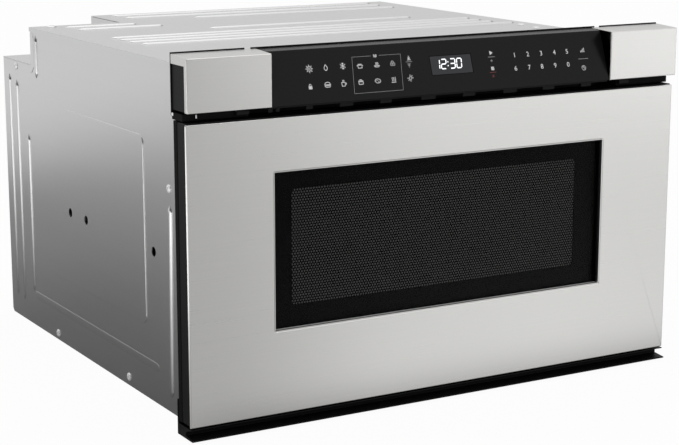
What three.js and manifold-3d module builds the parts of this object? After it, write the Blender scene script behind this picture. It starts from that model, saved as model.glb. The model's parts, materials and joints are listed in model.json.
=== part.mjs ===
// Under-counter microwave drawer: a motorised drawer with a windowed front slides out of a
// sheet-metal body, below a sloping control panel between two steel corner trims.
//
// Millimetres, +Z up, -Y to the front, +X to the right seen from the front.
// While the pieces are made, Y = 0 is the front face of the steel door skin and Z = 0 is its
// bottom edge. The last group moves all of it so that the origin is the bottom centre.

import * as THREE from 'three';
import { mergeVertices } from 'three/addons/utils/BufferGeometryUtils.js';
import Module from 'manifold-3d';

const wasm = await Module();
wasm.setup();

// ---------------------------------------------------------------------------------------
// Driving dimensions
// ---------------------------------------------------------------------------------------

// Clearances
const SEAT = 0.3; // between a piece and what it is fastened to
const RUN = 0.4; // between sliding rails

// Front face
const FACE_WIDTH = 606.4;
const DOOR_HEIGHT = 307.5;
const DOOR_DEPTH = 28;
const SKIN = 1.5; // steel door skin
const CONTROL_GAP = 11.4; // between the door's top edge and the corner trims
const FRONT_DEPTH = 33; // door face to the rear of the mounting flange
const FLANGE_INSET = 13.2; // face beyond the mounting flange, each side
const FLANGE_SHEET = 1.5;

// Corner trims and sloping control panel
const TRIM_WIDTH = 92.7;
const TRIM_HEIGHT = 53.2;
const TRIM_PROUD = 4.8;
const TRIM_SHEET = 1;
const TRIM_RISE = 1.8; // how much the top rises from front to rear
const TRIM_RETURN = 6; // depth of the folded outer edge
const TRIM_LIP = 8; // height of the lip along the top of the outer side
const FASCIA_RECESS = 0.5; // panel's bottom edge behind the trims' face
const FASCIA_SETBACK = 18.9; // how far the panel's top edge leans back
const FASCIA_REAR_RISE = 1.62; // panel's rear edge above its top edge
const FASCIA_WALL = 2.5;
const FASCIA_GAP = 0.5; // between the panel's ends and the trims
const PANEL_LIP = 18; // depth of the panel's bottom lip
const DISPLAY_LEFT = -18.2; // display window on the sloping panel
const DISPLAY_RIGHT = 33.2;
const DISPLAY_BOTTOM = 20;
const DISPLAY_TOP = 40.3;
const HOUSING_WALL = 2;
const TOP_FLANGE_RISE = 3; // mounting flange above the trims' front edge
const TOP_FLANGE_DROP = 62; // height of the wide part of the mounting flange
const FLANGE_FOOT = 2; // mounting flange above the body's underside
const FLANGE_SLOT = 7; // width of the two slots in the flange's top edge
const FLANGE_SLOT_OUT = 4.6; // beyond the trims' inner edge
const FLANGE_SLOT_DEPTH = 4;

// Body
const BODY_INSET = 26.1; // face beyond the body, each side
const BODY_TOP_DROP = 13.7; // body's top below the trims' front edge
const BODY_DEPTH = 562; // behind the mounting flange
const BODY_DROP = 16.7; // body's underside below the door's bottom edge
const SHEET = 1;
const BASE_SHEET = 1.2;
const FOLD = 10; // width of the folded edges
const FRONT_FOLD = 5;
const PAN_RIM = 20; // height of the base pan's upturned edge
const TOP_LIP = 4; // top panel's edge turned down over the sides
const NOTCH_WIDTH = 120.4;
const NOTCH_DEPTH = 98.4;
const NOTCH_HEIGHT = 44.8;
const REAR_CHAMFER = 4;
const MACHINE_BAY = 114.7; // behind the cavity, to the rear panel's outside

// Beads, raised field and holes of the side panels, in from the panel's edges
const BEAD_HEIGHT = 1.3;
const BEAD_WIDTH = 9;
const BEAD_FOOT = 24.7; // beads' lower ends above the underside
const REAR_BEAD_INSET = 19.5;
const REAR_BEAD_DROP = 22.6; // its upper end below the corner recess
const NEXT_BEAD_INSET = 45;
const NEXT_BEAD_DROP = 27.6;
const CORNER_BEAD_INSET = 81; // bead that turns forward along the bottom
const CORNER_BEAD_TOP = 236.7;
const CORNER_BEAD_RISE = 40.7;
const CORNER_BEAD_RADIUS = 16;
const CORNER_BEAD_FRONT = 99.7;
const FRONT_BEAD_INSET = 64.7;
const FRONT_BEAD_TOP = 223.7;
const FRONT_BEAD_BEND = 4; // its foot leans forward
const SHORT_BEAD_INSET = 17.1; // in front of the corner recess
const SHORT_BEAD_DROP = 12.4;
const SHORT_BEAD_LENGTH = 46;
const FIELD_HEIGHT = 0.6;
const FIELD_FRONT = 131.7;
const FIELD_REAR = 146;
const FIELD_BOTTOM = 82.7;
const FIELD_TOP = 85.4;
const FIELD_CORNER = 11;
const FIELD_CUT = 50; // sloping upper rear corner
const FIELD_EASE = 7; // where the slope meets the field's edges
const SIDE_HOLE = 5.5; // radius
const SIDE_HOLE_RISE = 167.7;
const SIDE_HOLE_REAR = 215.6;
const SIDE_HOLE_MIDDLE = 264.3;
const SIDE_HOLE_FRONT = 110.1;

// Ribs of the top panel, in from its edges
const RIB_HEIGHT = 2.5;
const RIB_WIDTH = 12;
const RIB_LEFT = 34.1;
const RIB_RIGHT = 29.1;
const FRONT_RIBS = 4;
const FRONT_RIB_INSET = 216.7;
const FRONT_RIB_PITCH = 25;
const MIDDLE_RIB_INSET = 339.7; // from the front
const MIDDLE_RIB_LEFT = 181.1;
const MIDDLE_RIB_RIGHT = 88.1;
const SHORT_RIBS = 2;
const SHORT_RIB_INSET = 31.6; // in front of the corner recess
const SHORT_RIB_PITCH = 32;
const SHORT_RIB_REACH = 18; // beyond the recess's inner side
const REAR_RIB_INSET = 22;
const REAR_RIB_PITCH = 33;
const REAR_RIB_START = 21; // beside the corner recess
const LAST_RIB_START = 103.7;

// Vents, slots and small holes of the body
const FRAME_VENTS = 11;
const FRAME_VENT_PITCH = 36;
const FRAME_VENT_WIDTH = 26;
const FRAME_VENT_HEIGHT = 8;
const FRAME_VENT_DROP = 7.5; // vents below the door's top edge
const FRAME_HOLE = 2.5; // radius
const FRAME_HOLE_EDGE = 5;
const FRAME_HOLE_RISE = 60;
const FRAME_HOLE_DROP = 57.5;
const FRAME_MARGIN = 3; // round what passes through the front frame
const REAR_VENT_WIDTH = 50;
const REAR_VENT_HEIGHT = 3;
const REAR_VENT_PITCH = 9;
const REAR_VENT_ROWS = 9; // behind the blower
const LOW_VENT_ROWS = 6; // behind the transformer
const LOW_VENT_RISE = 35.5;
const PAN_SLOTS = 8;
const PAN_SLOT_PITCH = 14;
const PAN_SLOT_WIDTH = 5;
const PAN_SLOT_LENGTH = 65;
const PAN_SLOT_INSET = 25;
const PAN_MOUTH = 2; // low front edge of the base pan
const GLAND_INSET = 62; // cord gland to the body's side
const GLAND_DROP = 22.4;
const GLAND_RADIUS = 10;
const GLAND_FLANGE = 15; // radius
const GLAND_BORE = 5; // radius
const GLAND_REAR = 14; // nose behind the wall
const GLAND_FRONT = 9;

// Channel below the door
const CHANNEL_DROP = 13; // its underside below the door's bottom edge
const CHANNEL_GAP = 1.2; // between the door and the channel
const CHANNEL_LIP = 1; // thickness of its upper edge
const CHANNEL_THROAT = 12; // depth of its hollow front
const CHANNEL_SLOPE = 6.5;
const CHANNEL_STEP = 3.4;
const CHANNEL_PROUD = 3.8;
const CHANNEL_NOSE = 1.4;
const CHANNEL_RAMP = 1.6;
const CHANNEL_EAR = 24; // upturned ends above the door's bottom edge
const CHANNEL_EAR_INSET = 2;

// Window in the door
const WINDOW_SIDE = 96.4; // steel beside the window
const WINDOW_ABOVE = 54.5; // steel above the window
const WINDOW_RISE = 87.7; // bottom of the window above the door's bottom edge
const WINDOW_RADIUS = 1.5;
const SLEEVE_WALL = 0.8; // folded edge round the window
const SLEEVE_DEPTH = 4;
const SKIN_RADIUS = 1.2;
const GLASS_RECESS = 7.5;
const GLASS_THICKNESS = 4;
const GLASS_MARGIN = 9; // glass behind the frame, all round
const GASKET = 2;
const GASKET_INSET = 1.5;
const GASKET_BAND = 7;
const GLASS_RADIUS = 4;
const FRAME_WALL = 10;
const FRAME_INSET = 0.8; // frame inside the skin's edge
const FRAME_RADIUS = 2;
const FRAME_TOP_RISE = 1.1; // frame above the skin's top edge

// Cavity, tub and choke
const CAVITY_SIDE = 46; // cavity's side wall to the back of the rail
const CAVITY_TOP_DROP = 49.5; // cavity's roof below the door's top edge
const CAVITY_RISE = 56; // cavity's floor above the door's bottom edge
const CAVITY_RADIUS = 6;
const CAVITY_FLANGE = 14;
const TUB_GAP = 2.8; // between tub and cavity's sides
const TUB_CLEARANCE = 3; // between tub and cavity's floor
const TUB_WALL = 1;
const TUB_TOP_GAP = 14; // tub's rim below the cavity's roof
const TUB_RIM = 1.8;
const TUB_RADIUS = 18;
const TUB_REAR_GAP = 10;
const TUB_MOUTH = 20; // depth of the tub's open front edge
const RIM_HEIGHT = 1.5;
const TUB_RIM_START = 4; // tub's rim behind the door
const TRAY_THICKNESS = 5;
const TRAY_MARGIN = 6;
const TRAY_RADIUS = 16;
const CHOKE_SIDE = 5.3; // between the choke's rim and the rail
const CHOKE_BOTTOM = 30;
const CHOKE_TOP_DROP = 22.5; // choke's rim below the door's top edge
const CHOKE_SHEET = 1;
const CHOKE_SETBACK = 0.6; // choke's rim in front of the frame's rear
const CHOKE_COVER = 1.5;
const CHOKE_COVER_INSET = 0.6;
const CHOKE_THROAT_GAP = 0.8; // between the cover and the inner ring
const CHOKE_THROAT_DROP = 5.2; // top of the choke's inner ring below the cavity's roof

// Telescopic slides
const TRAVEL = 381;
const RAIL_HEIGHT = 45;
const RAIL_DEPTH = 12.7;
const RAIL_SHEET = 1.5;
const RAIL_LENGTH = 450;
const RAIL_RISE = 45; // rail's centre line above the door's bottom edge
const RAIL_INSET = 9.1; // rail's back to the body's outer side
const RAIL_FOOT = 15; // width of the rail support's foot
const BRACKET_HEIGHT = 48;
const BRACKET_FOOT = 28;
const BRACKET_FOOT_RISE = 20;
const BRACKET_SLOTS = 3;
const BRACKET_SLOT_START = 120;
const BRACKET_SLOT_PITCH = 110;
const BRACKET_SLOT_LENGTH = 60;
const BRACKET_SLOT_BOTTOM = 18;
const BRACKET_SLOT_TOP = 14;
const BRACKET_LEDGE = 8; // where no rack lies on it
const OUTER_LIP = 3; // outer member's open side, in from the rail's depth
const MIDDLE_LIP = 2;
const RAIL_SETBACK = 2; // rail behind the mounting flange
const SUPPORT_RISE = 2; // rail support above the rail
const SUPPORT_HOLES = 4;
const SUPPORT_HOLE = 9; // radius
const SUPPORT_HOLE_START = 90;
const SUPPORT_HOLE_PITCH = 100;
const SUPPORT_HOLE_Z = 5;

// Rack drive
const MODULE = 2; // tooth size
const PINION_TEETH = 20;
const PRESSURE_ANGLE = (20 * Math.PI) / 180;
const RACK_SPARE = 46; // rack's length beyond the drawer's travel
const RACK_FACE = 10; // rack's height
const RACK_BODY = 8; // rack's width behind the teeth
const RACK_START = 42;
const RACK_DEPTH = 21; // teeth's root to the drawer bracket
const PINION_BEHIND = 24; // pinion behind the rack's start
const HUB_RADIUS = 8;
const HUB_RISE = 4;
const BACKLASH = 0.5;
const MOTOR_RADIUS = 30;
const MOTOR_HEIGHT = 29;
const SHAFT_RADIUS = 4;
const SHAFT_DEPTH = 6; // shaft's length in the motor
const MOTOR_PLATE = 1.5;
const MOTOR_EAR = 8; // beyond the motor's can
const MOTOR_EAR_WIDTH = 14;
const MOTOR_EAR_SHEET = 2;
const MOTOR_EAR_DROP = 1;
const MOTOR_PLUG_WIDTH = 24;
const MOTOR_PLUG_REACH = 9;
const MOTOR_PLUG_HEIGHT = 12;
const MOTOR_POST = 8; // width of the bracket's posts
const MOTOR_POST_OUT = 5.5;
const MOTOR_PLATE_REACH = 10;
const MOTOR_PLATE_DEPTH = 48;

// Interlocks
const LATCH_INSET = 8; // latch's middle to the rail's back
const LATCH_RISE = 11; // above the cavity's roof
const HOOK_LENGTH = 58.5;
const HOOK_WIDTH = 5;
const HOOK_BARB = 12; // length of its hooked end
const HOOK_POINT = 6;
const HOOK_HALF = 7;
const HOOK_FOOT_WIDTH = 15;
const HOOK_FOOT_HEIGHT = 28;
const HOOK_FOOT_SHEET = 2;
const SWITCH_WIDTH = 19;
const SWITCH_DEPTH = 50.7;
const SWITCH_HEIGHT = 40;
const SWITCH_MOUTH = 20; // height of the hook's slot
const SWITCH_SLOT_WIDTH = 9;
const SWITCH_WALL = 13; // behind the hook's slot
const SWITCH_BODY = 16.5; // length of a switch behind the holder
const SWITCH_BODY_HEIGHT = 10;
const SWITCH_SPREAD = 14.5; // switches above and below the latch

// Waveguide, stirrer and magnetron
const GUIDE_WIDTH = 90;
const GUIDE_HEIGHT = 40;
const GUIDE_WALL = 1.2;
const GUIDE_FRONT = 65; // in front of the stirrer's shaft
const GUIDE_REAR = 45; // behind the antenna
const STIRRER_BEHIND = 221.7; // stirrer's shaft behind the body's front
const STIRRER_RADIUS = 72;
const STIRRER_BLADES = 5;
const STIRRER_SHAFT = 3;
const STIRRER_DROP = 7; // blades below the cavity's roof
const STIRRER_HUB = 12; // radius
const BLADE_ROOT = 18; // width of a blade at the hub
const BLADE_TIP = 20;
const BLADE_KNEE = 30;
const BLADE_SHEET = 1;
const BLADE_TWIST = 0.06;
const COVER_DROP = 11.5; // stirrer cover's underside below the cavity's roof
const COVER_MARGIN = 14; // cover beyond the blades
const COVER_SHEET = 1.2;
const COVER_RADIUS = 12;
const COVER_POST = 4; // radius
const COVER_POST_INSET = 10;
const STIRRER_MOTOR = 24; // radius
const STIRRER_MOTOR_HEIGHT = 15;
const STIRRER_MOTOR_EAR = 9;
const STIRRER_MOTOR_DEPTH = 8; // shaft's length in the motor
const FEED_RADIUS = 34;
const ANTENNA_HOLE = 14; // radius
const MAGNETRON_INSET = 60; // antenna to the rear panel's outside
const MAGNETRON_WIDTH = 80;
const MAGNETRON_DEPTH = 84;
const MAGNETRON_FINS = 7;
const FIN_PITCH = 8;
const FIN_DEPTH = 54;
const FIN_SHEET = 0.8;
const FIN_CLEARANCE = 12; // fins below the mounting plate
const YOKE_DEPTH = 60;
const YOKE_SHEET = 2;
const ANODE_RADIUS = 18;
const ANTENNA_RADIUS = 9;
const ANTENNA_RISE = 26;
const CHOKE_BOX_WIDTH = 56;
const CHOKE_BOX_DEPTH = 52;
const CHOKE_BOX_HEIGHT = 30;
const LAMP_INSET = 72; // lamp to the cavity's side
const LAMP_BEHIND = 136.7; // lamp behind the body's front
const LAMP_HOLE = 12; // radius
const LAMP_COVER_WIDTH = 52;
const LAMP_COVER_DEPTH = 44;
const LAMP_COVER_HEIGHT = 40;
const LAMP_RISE = 18;
const SOCKET_START = 15;
const SOCKET_SIZE = 20;

// Power supply
const SUPPLY_SHEET = 1.2;
const TRANSFORMER_INSET = 174.5; // its middle to the side panel
const TRANSFORMER_BACK = 58; // its middle to the rear panel's outside
const TRANSFORMER_WIDTH = 100;
const TRANSFORMER_DEPTH = 44;
const TRANSFORMER_HEIGHT = 84;
const TRANSFORMER_FOOT = 8; // foot beyond the core
const TRANSFORMER_FOOT_SHEET = 2;
const COIL_WIDTH = 64;
const COIL_DEPTH = 80;
const COIL_RISE = 16;
const COIL_HEIGHT = 26;
const COIL_RADIUS = 10;
const COIL_STEP = 2; // how much the second coil is narrower, each side
const SECOND_COIL_RISE = 46;
const SECOND_COIL_HEIGHT = 22;
const CAPACITOR_INSET = 69.5;
const CAPACITOR_BACK = 60;
const CAPACITOR_WIDTH = 52;
const CAPACITOR_DEPTH = 34;
const CAPACITOR_HEIGHT = 88;
const STRAP_RISE = 30;
const STRAP_HEIGHT = 14;
const STRAP_SHEET = 1;
const STRAP_FOOT = 40;
const STRAP_FOOT_DEPTH = 16;
const TAB_SPREAD = 12;
const TAB_WIDTH = 6;
const TAB_HEIGHT = 10;
const TAB_SHEET = 1;
const BOARD_SHEET = 1.6;
const FILTER_INSET = 24.5; // filter board to the side panel
const FILTER_WIDTH = 80;
const FILTER_HEIGHT = 100;
const FILTER_DROP = 53.6; // below the corner recess
const FILTER_STANDOFF = 8;
const FILTER_POST = 3; // radius
const FILTER_POST_INSET = 6;
const FILTER_COIL = 14; // radius
const FILTER_COIL_DEPTH = 18;
const FUSE_RADIUS = 4;
const FUSE_LENGTH = 35;
const FUSE_CLIP = 5;
const FILTER_BOX_WIDTH = 25;
const FILTER_BOX_HEIGHT = 40;
const FILTER_BOX_DEPTH = 15;

// Control board and keypad
const CONTROL_BOARD_WIDTH = 300;
const CONTROL_BOARD_HEIGHT = 42;
const RELAYS = 3;
const RELAY_WIDTH = 18;
const RELAY_PITCH = 25;
const RELAY_HEIGHT = 14;
const RELAY_DEPTH = 11;
const BOARD_CAPACITORS = 3;
const BOARD_CAPACITOR = 6; // radius
const BOARD_CAPACITOR_PITCH = 18;
const BOARD_CAPACITOR_START = 60;
const BOARD_CAPACITOR_DEPTH = 9;
const BOARD_COIL_START = 112;
const BOARD_COIL_WIDTH = 26;
const BOARD_COIL_HEIGHT = 19;
const BOARD_COIL_DEPTH = 12;
const PLUG_START = -50;
const PLUG_WIDTH = 30;
const PLUG_HEIGHT = 7;
const PLUG_DEPTH = 7;
const BOARD_EDGE = 3; // parts in from the board's bottom edge
const KEYPAD_MARGIN = 8;
const KEYPAD_BOTTOM = 5;
const KEYPAD_TOP = 49;
const KEYPAD_SHEET = 1.2;
const KEYPAD_WINDOW = 3; // keypad clear of the display
const DISPLAY_DEPTH = 6;
const DISPLAY_MARGIN = 2.5;
const DISPLAY_FLANGE = 6;
const DISPLAY_FLANGE_RISE = 4;
const LENS_RECESS = 0.2;

// Blower
const WHEEL_RADIUS = 40;
const WHEEL_WIDTH = 48;
const WHEEL_BLADES = 28;
const WHEEL_BAND = 9; // depth of the blades
const WHEEL_PLATE = 1.5;
const WHEEL_HUB = 7; // radius
const WHEEL_HUB_LENGTH = 18;
const WHEEL_BLADE = 0.9;
const WHEEL_CURVE = 0.16; // forward sweep of the blades
const BLOWER_INSET = 179.5; // blower's left side to the right side panel
const BLOWER_BACK = 58; // wheel's axis to the rear panel's outside
const BLOWER_DROP = 73; // wheel's axis below the cavity's roof
const BLOWER_WIDTH = 60;
const BLOWER_WALL = 1.5;
const BLOWER_HOLE = 8; // radius of the shaft's hole
const SCROLL_GAP = 4.5; // between wheel and scroll, at its tongue
const SCROLL_GROWTH = 7;
const SCROLL_STEPS = 18;
const OUTLET_FRONT = 12;
const OUTLET_NECK = 16;
const TONGUE_RISE = 6;
const FAN_SHAFT = 3;
const FAN_SHAFT_REACH = 28;
const FAN_PLATE = 60;
const FAN_RADIUS = 27;
const FAN_LENGTH = 38;
const FAN_CORE = 64;
const FAN_CORE_START = 10;
const FAN_CORE_LENGTH = 18;
const DUCT_WALL = 1;
const DUCT_TOP_GAP = 12; // duct below the top panel
const DUCT_FRONT_GAP = 2;
const DUCT_REAR_GAP = 14;
const DUCT_SLOPE = 30;
const DUCT_INLET_FRONT = 10;
const DUCT_INLET_REAR = 46;

// Housing of the control panel
const HOUSING_SETBACK = 6; // housing's floor behind the panel's bottom edge
const HOUSING_SILL = 16;
const HOUSING_POST = 12;
const HOUSING_OVERLAP = 0.2; // housing's end walls clear of the trims' edge
const CLIP_PITCH = 120;
const CLIP_WIDTH = 16;
const CLIP_DROP = 4; // clips below the trims' top

// ---------------------------------------------------------------------------------------
// Places worked out from them
// ---------------------------------------------------------------------------------------

const faceHalf = FACE_WIDTH / 2;
const trimBottom = DOOR_HEIGHT + CONTROL_GAP;
const trimTop = trimBottom + TRIM_HEIGHT;
const frontY = -TRIM_PROUD;
const flangeFront = FRONT_DEPTH - FLANGE_SHEET;
const housingRear = flangeFront - SEAT;
const bodyHalf = faceHalf - BODY_INSET;
const flangeHalf = faceHalf - FLANGE_INSET;
const baseZ = -BODY_DROP;
const topZ = trimTop - BODY_TOP_DROP;
const bodyFront = FRONT_DEPTH + SEAT;
const rearY = FRONT_DEPTH + BODY_DEPTH;
const sideOuter = bodyHalf - SHEET - SEAT;
const sideInner = sideOuter - SHEET;
const coreHalf = sideInner - SEAT; // what fits between the side panels
const notchX = -bodyHalf + NOTCH_WIDTH;
const notchY = rearY - NOTCH_DEPTH;
const notchZ = topZ - NOTCH_HEIGHT;
const floorTop = baseZ + BASE_SHEET;
const topUnder = topZ - SHEET;
const panTop = floorTop + PAN_RIM;

const windowHalf = faceHalf - WINDOW_SIDE;
const windowTop = DOOR_HEIGHT - WINDOW_ABOVE;
const frameFront = SKIN + SEAT;
const glassFront = GLASS_RECESS;
const glassRear = glassFront + GLASS_THICKNESS;
const gasketFront = glassRear + SEAT;
const chokeFront = gasketFront + GASKET + SEAT;
const chokeRear = DOOR_DEPTH - CHOKE_SETBACK;

const railOutset = bodyHalf - RAIL_INSET;
const cavityHalf = railOutset - CAVITY_SIDE;
const cavityTop = DOOR_HEIGHT - CAVITY_TOP_DROP;
const cavityRear = rearY - MACHINE_BAY;
const roofZ = cavityTop + SHEET;
const tubHalf = cavityHalf - TUB_GAP;
const tubBottom = CAVITY_RISE + TUB_CLEARANCE;
const tubTop = cavityTop - TUB_TOP_GAP;
const tubFront = chokeFront + CHOKE_SHEET + SEAT;
const tubRear = cavityRear - TUB_REAR_GAP;

const railFront = FRONT_DEPTH + RAIL_SETBACK;
const railInner = railOutset - RAIL_DEPTH; // face that the drawer bracket meets
const chokeHalf = railInner - CHOKE_SIDE;
const chokeTop = DOOR_HEIGHT - CHOKE_TOP_DROP;
const throatTop = cavityTop - CHOKE_THROAT_DROP;
const bracketOuter = railInner - SEAT;
const bracketInner = bracketOuter - RAIL_SHEET;
const bracketBottom = RAIL_RISE - BRACKET_HEIGHT / 2;

const pinionPitch = (MODULE * PINION_TEETH) / 2;
const toothPitch = Math.PI * MODULE;
const dedendum = 1.25 * MODULE;
const rackTeeth = Math.ceil((TRAVEL + RACK_SPARE) / toothPitch);
const rackRoot = bracketInner - RACK_DEPTH; // where the rack's teeth spring from
const rackPitch = rackRoot - dedendum;
const pinionX = rackPitch - pinionPitch;
const pinionY = RACK_START + PINION_BEHIND;
const rackBottom = bracketBottom + RAIL_SHEET + SEAT;

const guideBottom = roofZ + SEAT;
const guideTop = guideBottom + GUIDE_HEIGHT;
const stirrerY = bodyFront + STIRRER_BEHIND;
const magnetronY = rearY - MAGNETRON_INSET;
const lampX = -cavityHalf + LAMP_INSET;
const lampY = bodyFront + LAMP_BEHIND;
const latchX = railOutset - LATCH_INSET;
const latchZ = cavityTop + LATCH_RISE;

const transformerX = -coreHalf + TRANSFORMER_INSET;
const transformerY = rearY - TRANSFORMER_BACK;
const blowerX = coreHalf - BLOWER_INSET;
const blowerY = rearY - BLOWER_BACK;
const blowerTop = roofZ;
const blowerZ = blowerTop - BLOWER_DROP;
const glandX = -bodyHalf + GLAND_INSET;
const glandZ = topZ - GLAND_DROP;

// ---------------------------------------------------------------------------------------
// Materials
// ---------------------------------------------------------------------------------------

const finish = (color, roughness, metalness) => ({ color, roughness, metalness });
const GALVANISED = finish(0xb4b6b6, 0.45, 0.9);
const BRUSHED = finish(0xc9c8c5, 0.35, 0.95);
const BLACK_STEEL = finish(0x161616, 0.5, 0.2);
const BLACK_PLASTIC = finish(0x1c1c1d, 0.55, 0);
const PANEL_BLACK = finish(0x1d1d1f, 0.25, 0);
const GLASS = finish(0x0b0b0c, 0.08, 0);
const CAVITY_PAINT = finish(0x9b9c9b, 0.4, 0.3);
const CERAMIC = finish(0xd9d8d2, 0.25, 0);
const RUBBER = finish(0x141414, 0.8, 0);
const ZINC = finish(0xa9abac, 0.4, 0.9);
const NYLON = finish(0xe2dfd4, 0.5, 0);
const COPPER = finish(0xa8683c, 0.4, 0.8);
const BOARD = finish(0x1f5a38, 0.6, 0);
const MICA = finish(0xc9bfa6, 0.6, 0);

// ---------------------------------------------------------------------------------------
// Solids
// ---------------------------------------------------------------------------------------

function toSolid(geometry) {
  const bare = geometry.index ? geometry.toNonIndexed() : geometry.clone();
  bare.deleteAttribute('normal');
  bare.deleteAttribute('uv');
  const merged = mergeVertices(bare, 1e-4);
  return new wasm.Manifold(new wasm.Mesh({
    numProp: 3,
    vertProperties: new Float32Array(merged.attributes.position.array),
    triVerts: new Uint32Array(merged.index.array),
  }));
}

function toGeometry(solid) {
  const mesh = solid.getMesh();
  const geometry = new THREE.BufferGeometry();
  geometry.setAttribute('position', new THREE.BufferAttribute(mesh.vertProperties, 3));
  geometry.setIndex(new THREE.BufferAttribute(mesh.triVerts, 1));
  return geometry;
}

function join(...geometries) {
  return toGeometry(geometries.map(toSolid).reduce((sum, solid) => sum.add(solid)));
}

function cut(geometry, ...tools) {
  return toGeometry(tools.map(toSolid).reduce((rest, tool) => rest.subtract(tool), toSolid(geometry)));
}

function block(x0, x1, y0, y1, z0, z1) {
  const geometry = new THREE.BoxGeometry(x1 - x0, y1 - y0, z1 - z0);
  return geometry.translate((x0 + x1) / 2, (y0 + y1) / 2, (z0 + z1) / 2);
}

function mirrored(geometry) {
  const flipped = geometry.index ? geometry.toNonIndexed() : geometry.clone();
  flipped.scale(-1, 1, 1);
  const position = flipped.attributes.position;
  for (let i = 0; i < position.count; i += 3) {
    for (const axis of ['X', 'Y', 'Z']) {
      const kept = position[`get${axis}`](i + 1);
      position[`set${axis}`](i + 1, position[`get${axis}`](i + 2));
      position[`set${axis}`](i + 2, kept);
    }
  }
  return flipped;
}

// +1 keeps a piece on the right, -1 mirrors it to the left.
const onSide = (geometry, side) => (side > 0 ? geometry : mirrored(geometry));

function outline(points) {
  return new THREE.Shape(points.map(([a, b]) => new THREE.Vector2(a, b)));
}

function roundedRect(a0, a1, b0, b1, radius, kind = THREE.Shape) {
  const shape = new kind();
  const quarter = Math.PI / 2;
  shape.absarc(a1 - radius, b0 + radius, radius, -quarter, 0);
  shape.absarc(a1 - radius, b1 - radius, radius, 0, quarter);
  shape.absarc(a0 + radius, b1 - radius, radius, quarter, 2 * quarter);
  shape.absarc(a0 + radius, b0 + radius, radius, 2 * quarter, 3 * quarter);
  shape.closePath();
  return shape;
}

const ringShape = (outer, inner) => {
  outer.holes.push(inner);
  return outer;
};

function extrude(shape, depth, curveSegments = 3) {
  return new THREE.ExtrudeGeometry(shape, { depth, bevelEnabled: false, curveSegments, steps: 1 });
}

const AXIS_X = new THREE.Vector3(1, 0, 0);
const AXIS_Y = new THREE.Vector3(0, 1, 0);
const AXIS_Z = new THREE.Vector3(0, 0, 1);

// A shape drawn in (Y, Z) and extruded along +X.
function alongX(shape, x0, x1, curveSegments) {
  const turn = new THREE.Matrix4().makeBasis(AXIS_Y, AXIS_Z, AXIS_X);
  return extrude(shape, x1 - x0, curveSegments).applyMatrix4(turn).translate(x0, 0, 0);
}

// A shape drawn in (X, Z) and extruded along Y.
function alongY(shape, y0, y1, curveSegments) {
  return extrude(shape, y1 - y0, curveSegments).rotateX(Math.PI / 2).translate(0, y1, 0);
}

// A shape drawn in (X, Y) and extruded along +Z.
function alongZ(shape, z0, z1, curveSegments) {
  return extrude(shape, z1 - z0, curveSegments).translate(0, 0, z0);
}

function rodX(radius, x0, x1, y, z, sides = 16) {
  return new THREE.CylinderGeometry(radius, radius, x1 - x0, sides)
    .rotateZ(Math.PI / 2)
    .translate((x0 + x1) / 2, y, z);
}

function rodY(radius, x, y0, y1, z, sides = 16) {
  return new THREE.CylinderGeometry(radius, radius, y1 - y0, sides)
    .translate(x, (y0 + y1) / 2, z);
}

function rodZ(radius, x, y, z0, z1, sides = 16) {
  return new THREE.CylinderGeometry(radius, radius, z1 - z0, sides)
    .rotateX(Math.PI / 2)
    .translate(x, y, (z0 + z1) / 2);
}

// A bent strip: an open line of points given a wall to its left.
function strip(points, wall) {
  const line = points.map(([a, b]) => new THREE.Vector2(a, b));
  const normals = line.slice(1).map((point, i) => {
    const along = point.clone().sub(line[i]).normalize();
    return new THREE.Vector2(-along.y, along.x);
  });
  const inner = line.map((point, i) => {
    const before = normals[Math.max(i - 1, 0)];
    const after = normals[Math.min(i, normals.length - 1)];
    const middle = before.clone().add(after).normalize();
    return point.clone().addScaledVector(middle, wall / middle.dot(after));
  });
  return new THREE.Shape([...line, ...inner.reverse()]);
}

// A pressed bead: a low ridge with sloping flanks and ends, along a line of points on a
// plane. place(u, v, height) gives the point in space at (u, v), so far off the plane.
function bead(points, width, height, place) {
  const line = points.map(([u, v]) => new THREE.Vector2(u, v));
  const foot = -SHEET / 2;
  const slope = width / 4;
  const extended = [line[0]];
  const first = line[1].clone().sub(line[0]).normalize();
  extended.push(line[0].clone().addScaledVector(first, slope * 2));
  extended.push(...line.slice(1, -1));
  const last = line.at(-1).clone().sub(line.at(-2)).normalize();
  extended.push(line.at(-1).clone().addScaledVector(last, -slope * 2));
  extended.push(line.at(-1));
  const vertices = [];
  extended.forEach((point, i) => {
    const before = extended[Math.max(i - 1, 0)];
    const after = extended[Math.min(i + 1, extended.length - 1)];
    const along = after.clone().sub(before).normalize();
    const across = new THREE.Vector2(-along.y, along.x);
    const isEnd = i === 0 || i === extended.length - 1;
    const rise = isEnd ? foot / 2 : height;
    for (const [offset, lift] of [
      [width / 2, foot], [width / 2 - slope, rise], [slope - width / 2, rise], [-width / 2, foot],
    ]) {
      const spot = point.clone().addScaledVector(across, offset);
      vertices.push(...place(spot.x, spot.y, lift));
    }
  });
  const faces = [];
  for (let i = 0; i < extended.length - 1; i += 1) {
    for (let side = 0; side < 4; side += 1) {
      const a = i * 4 + side;
      const b = i * 4 + ((side + 1) % 4);
      faces.push(a, a + 4, b, b, a + 4, b + 4);
    }
  }
  const end = (extended.length - 1) * 4;
  faces.push(0, 1, 2, 0, 2, 3, end, end + 2, end + 1, end, end + 3, end + 2);
  const geometry = new THREE.BufferGeometry();
  geometry.setAttribute('position', new THREE.Float32BufferAttribute(vertices, 3));
  geometry.setIndex(faces);
  return outward(geometry);
}

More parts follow.
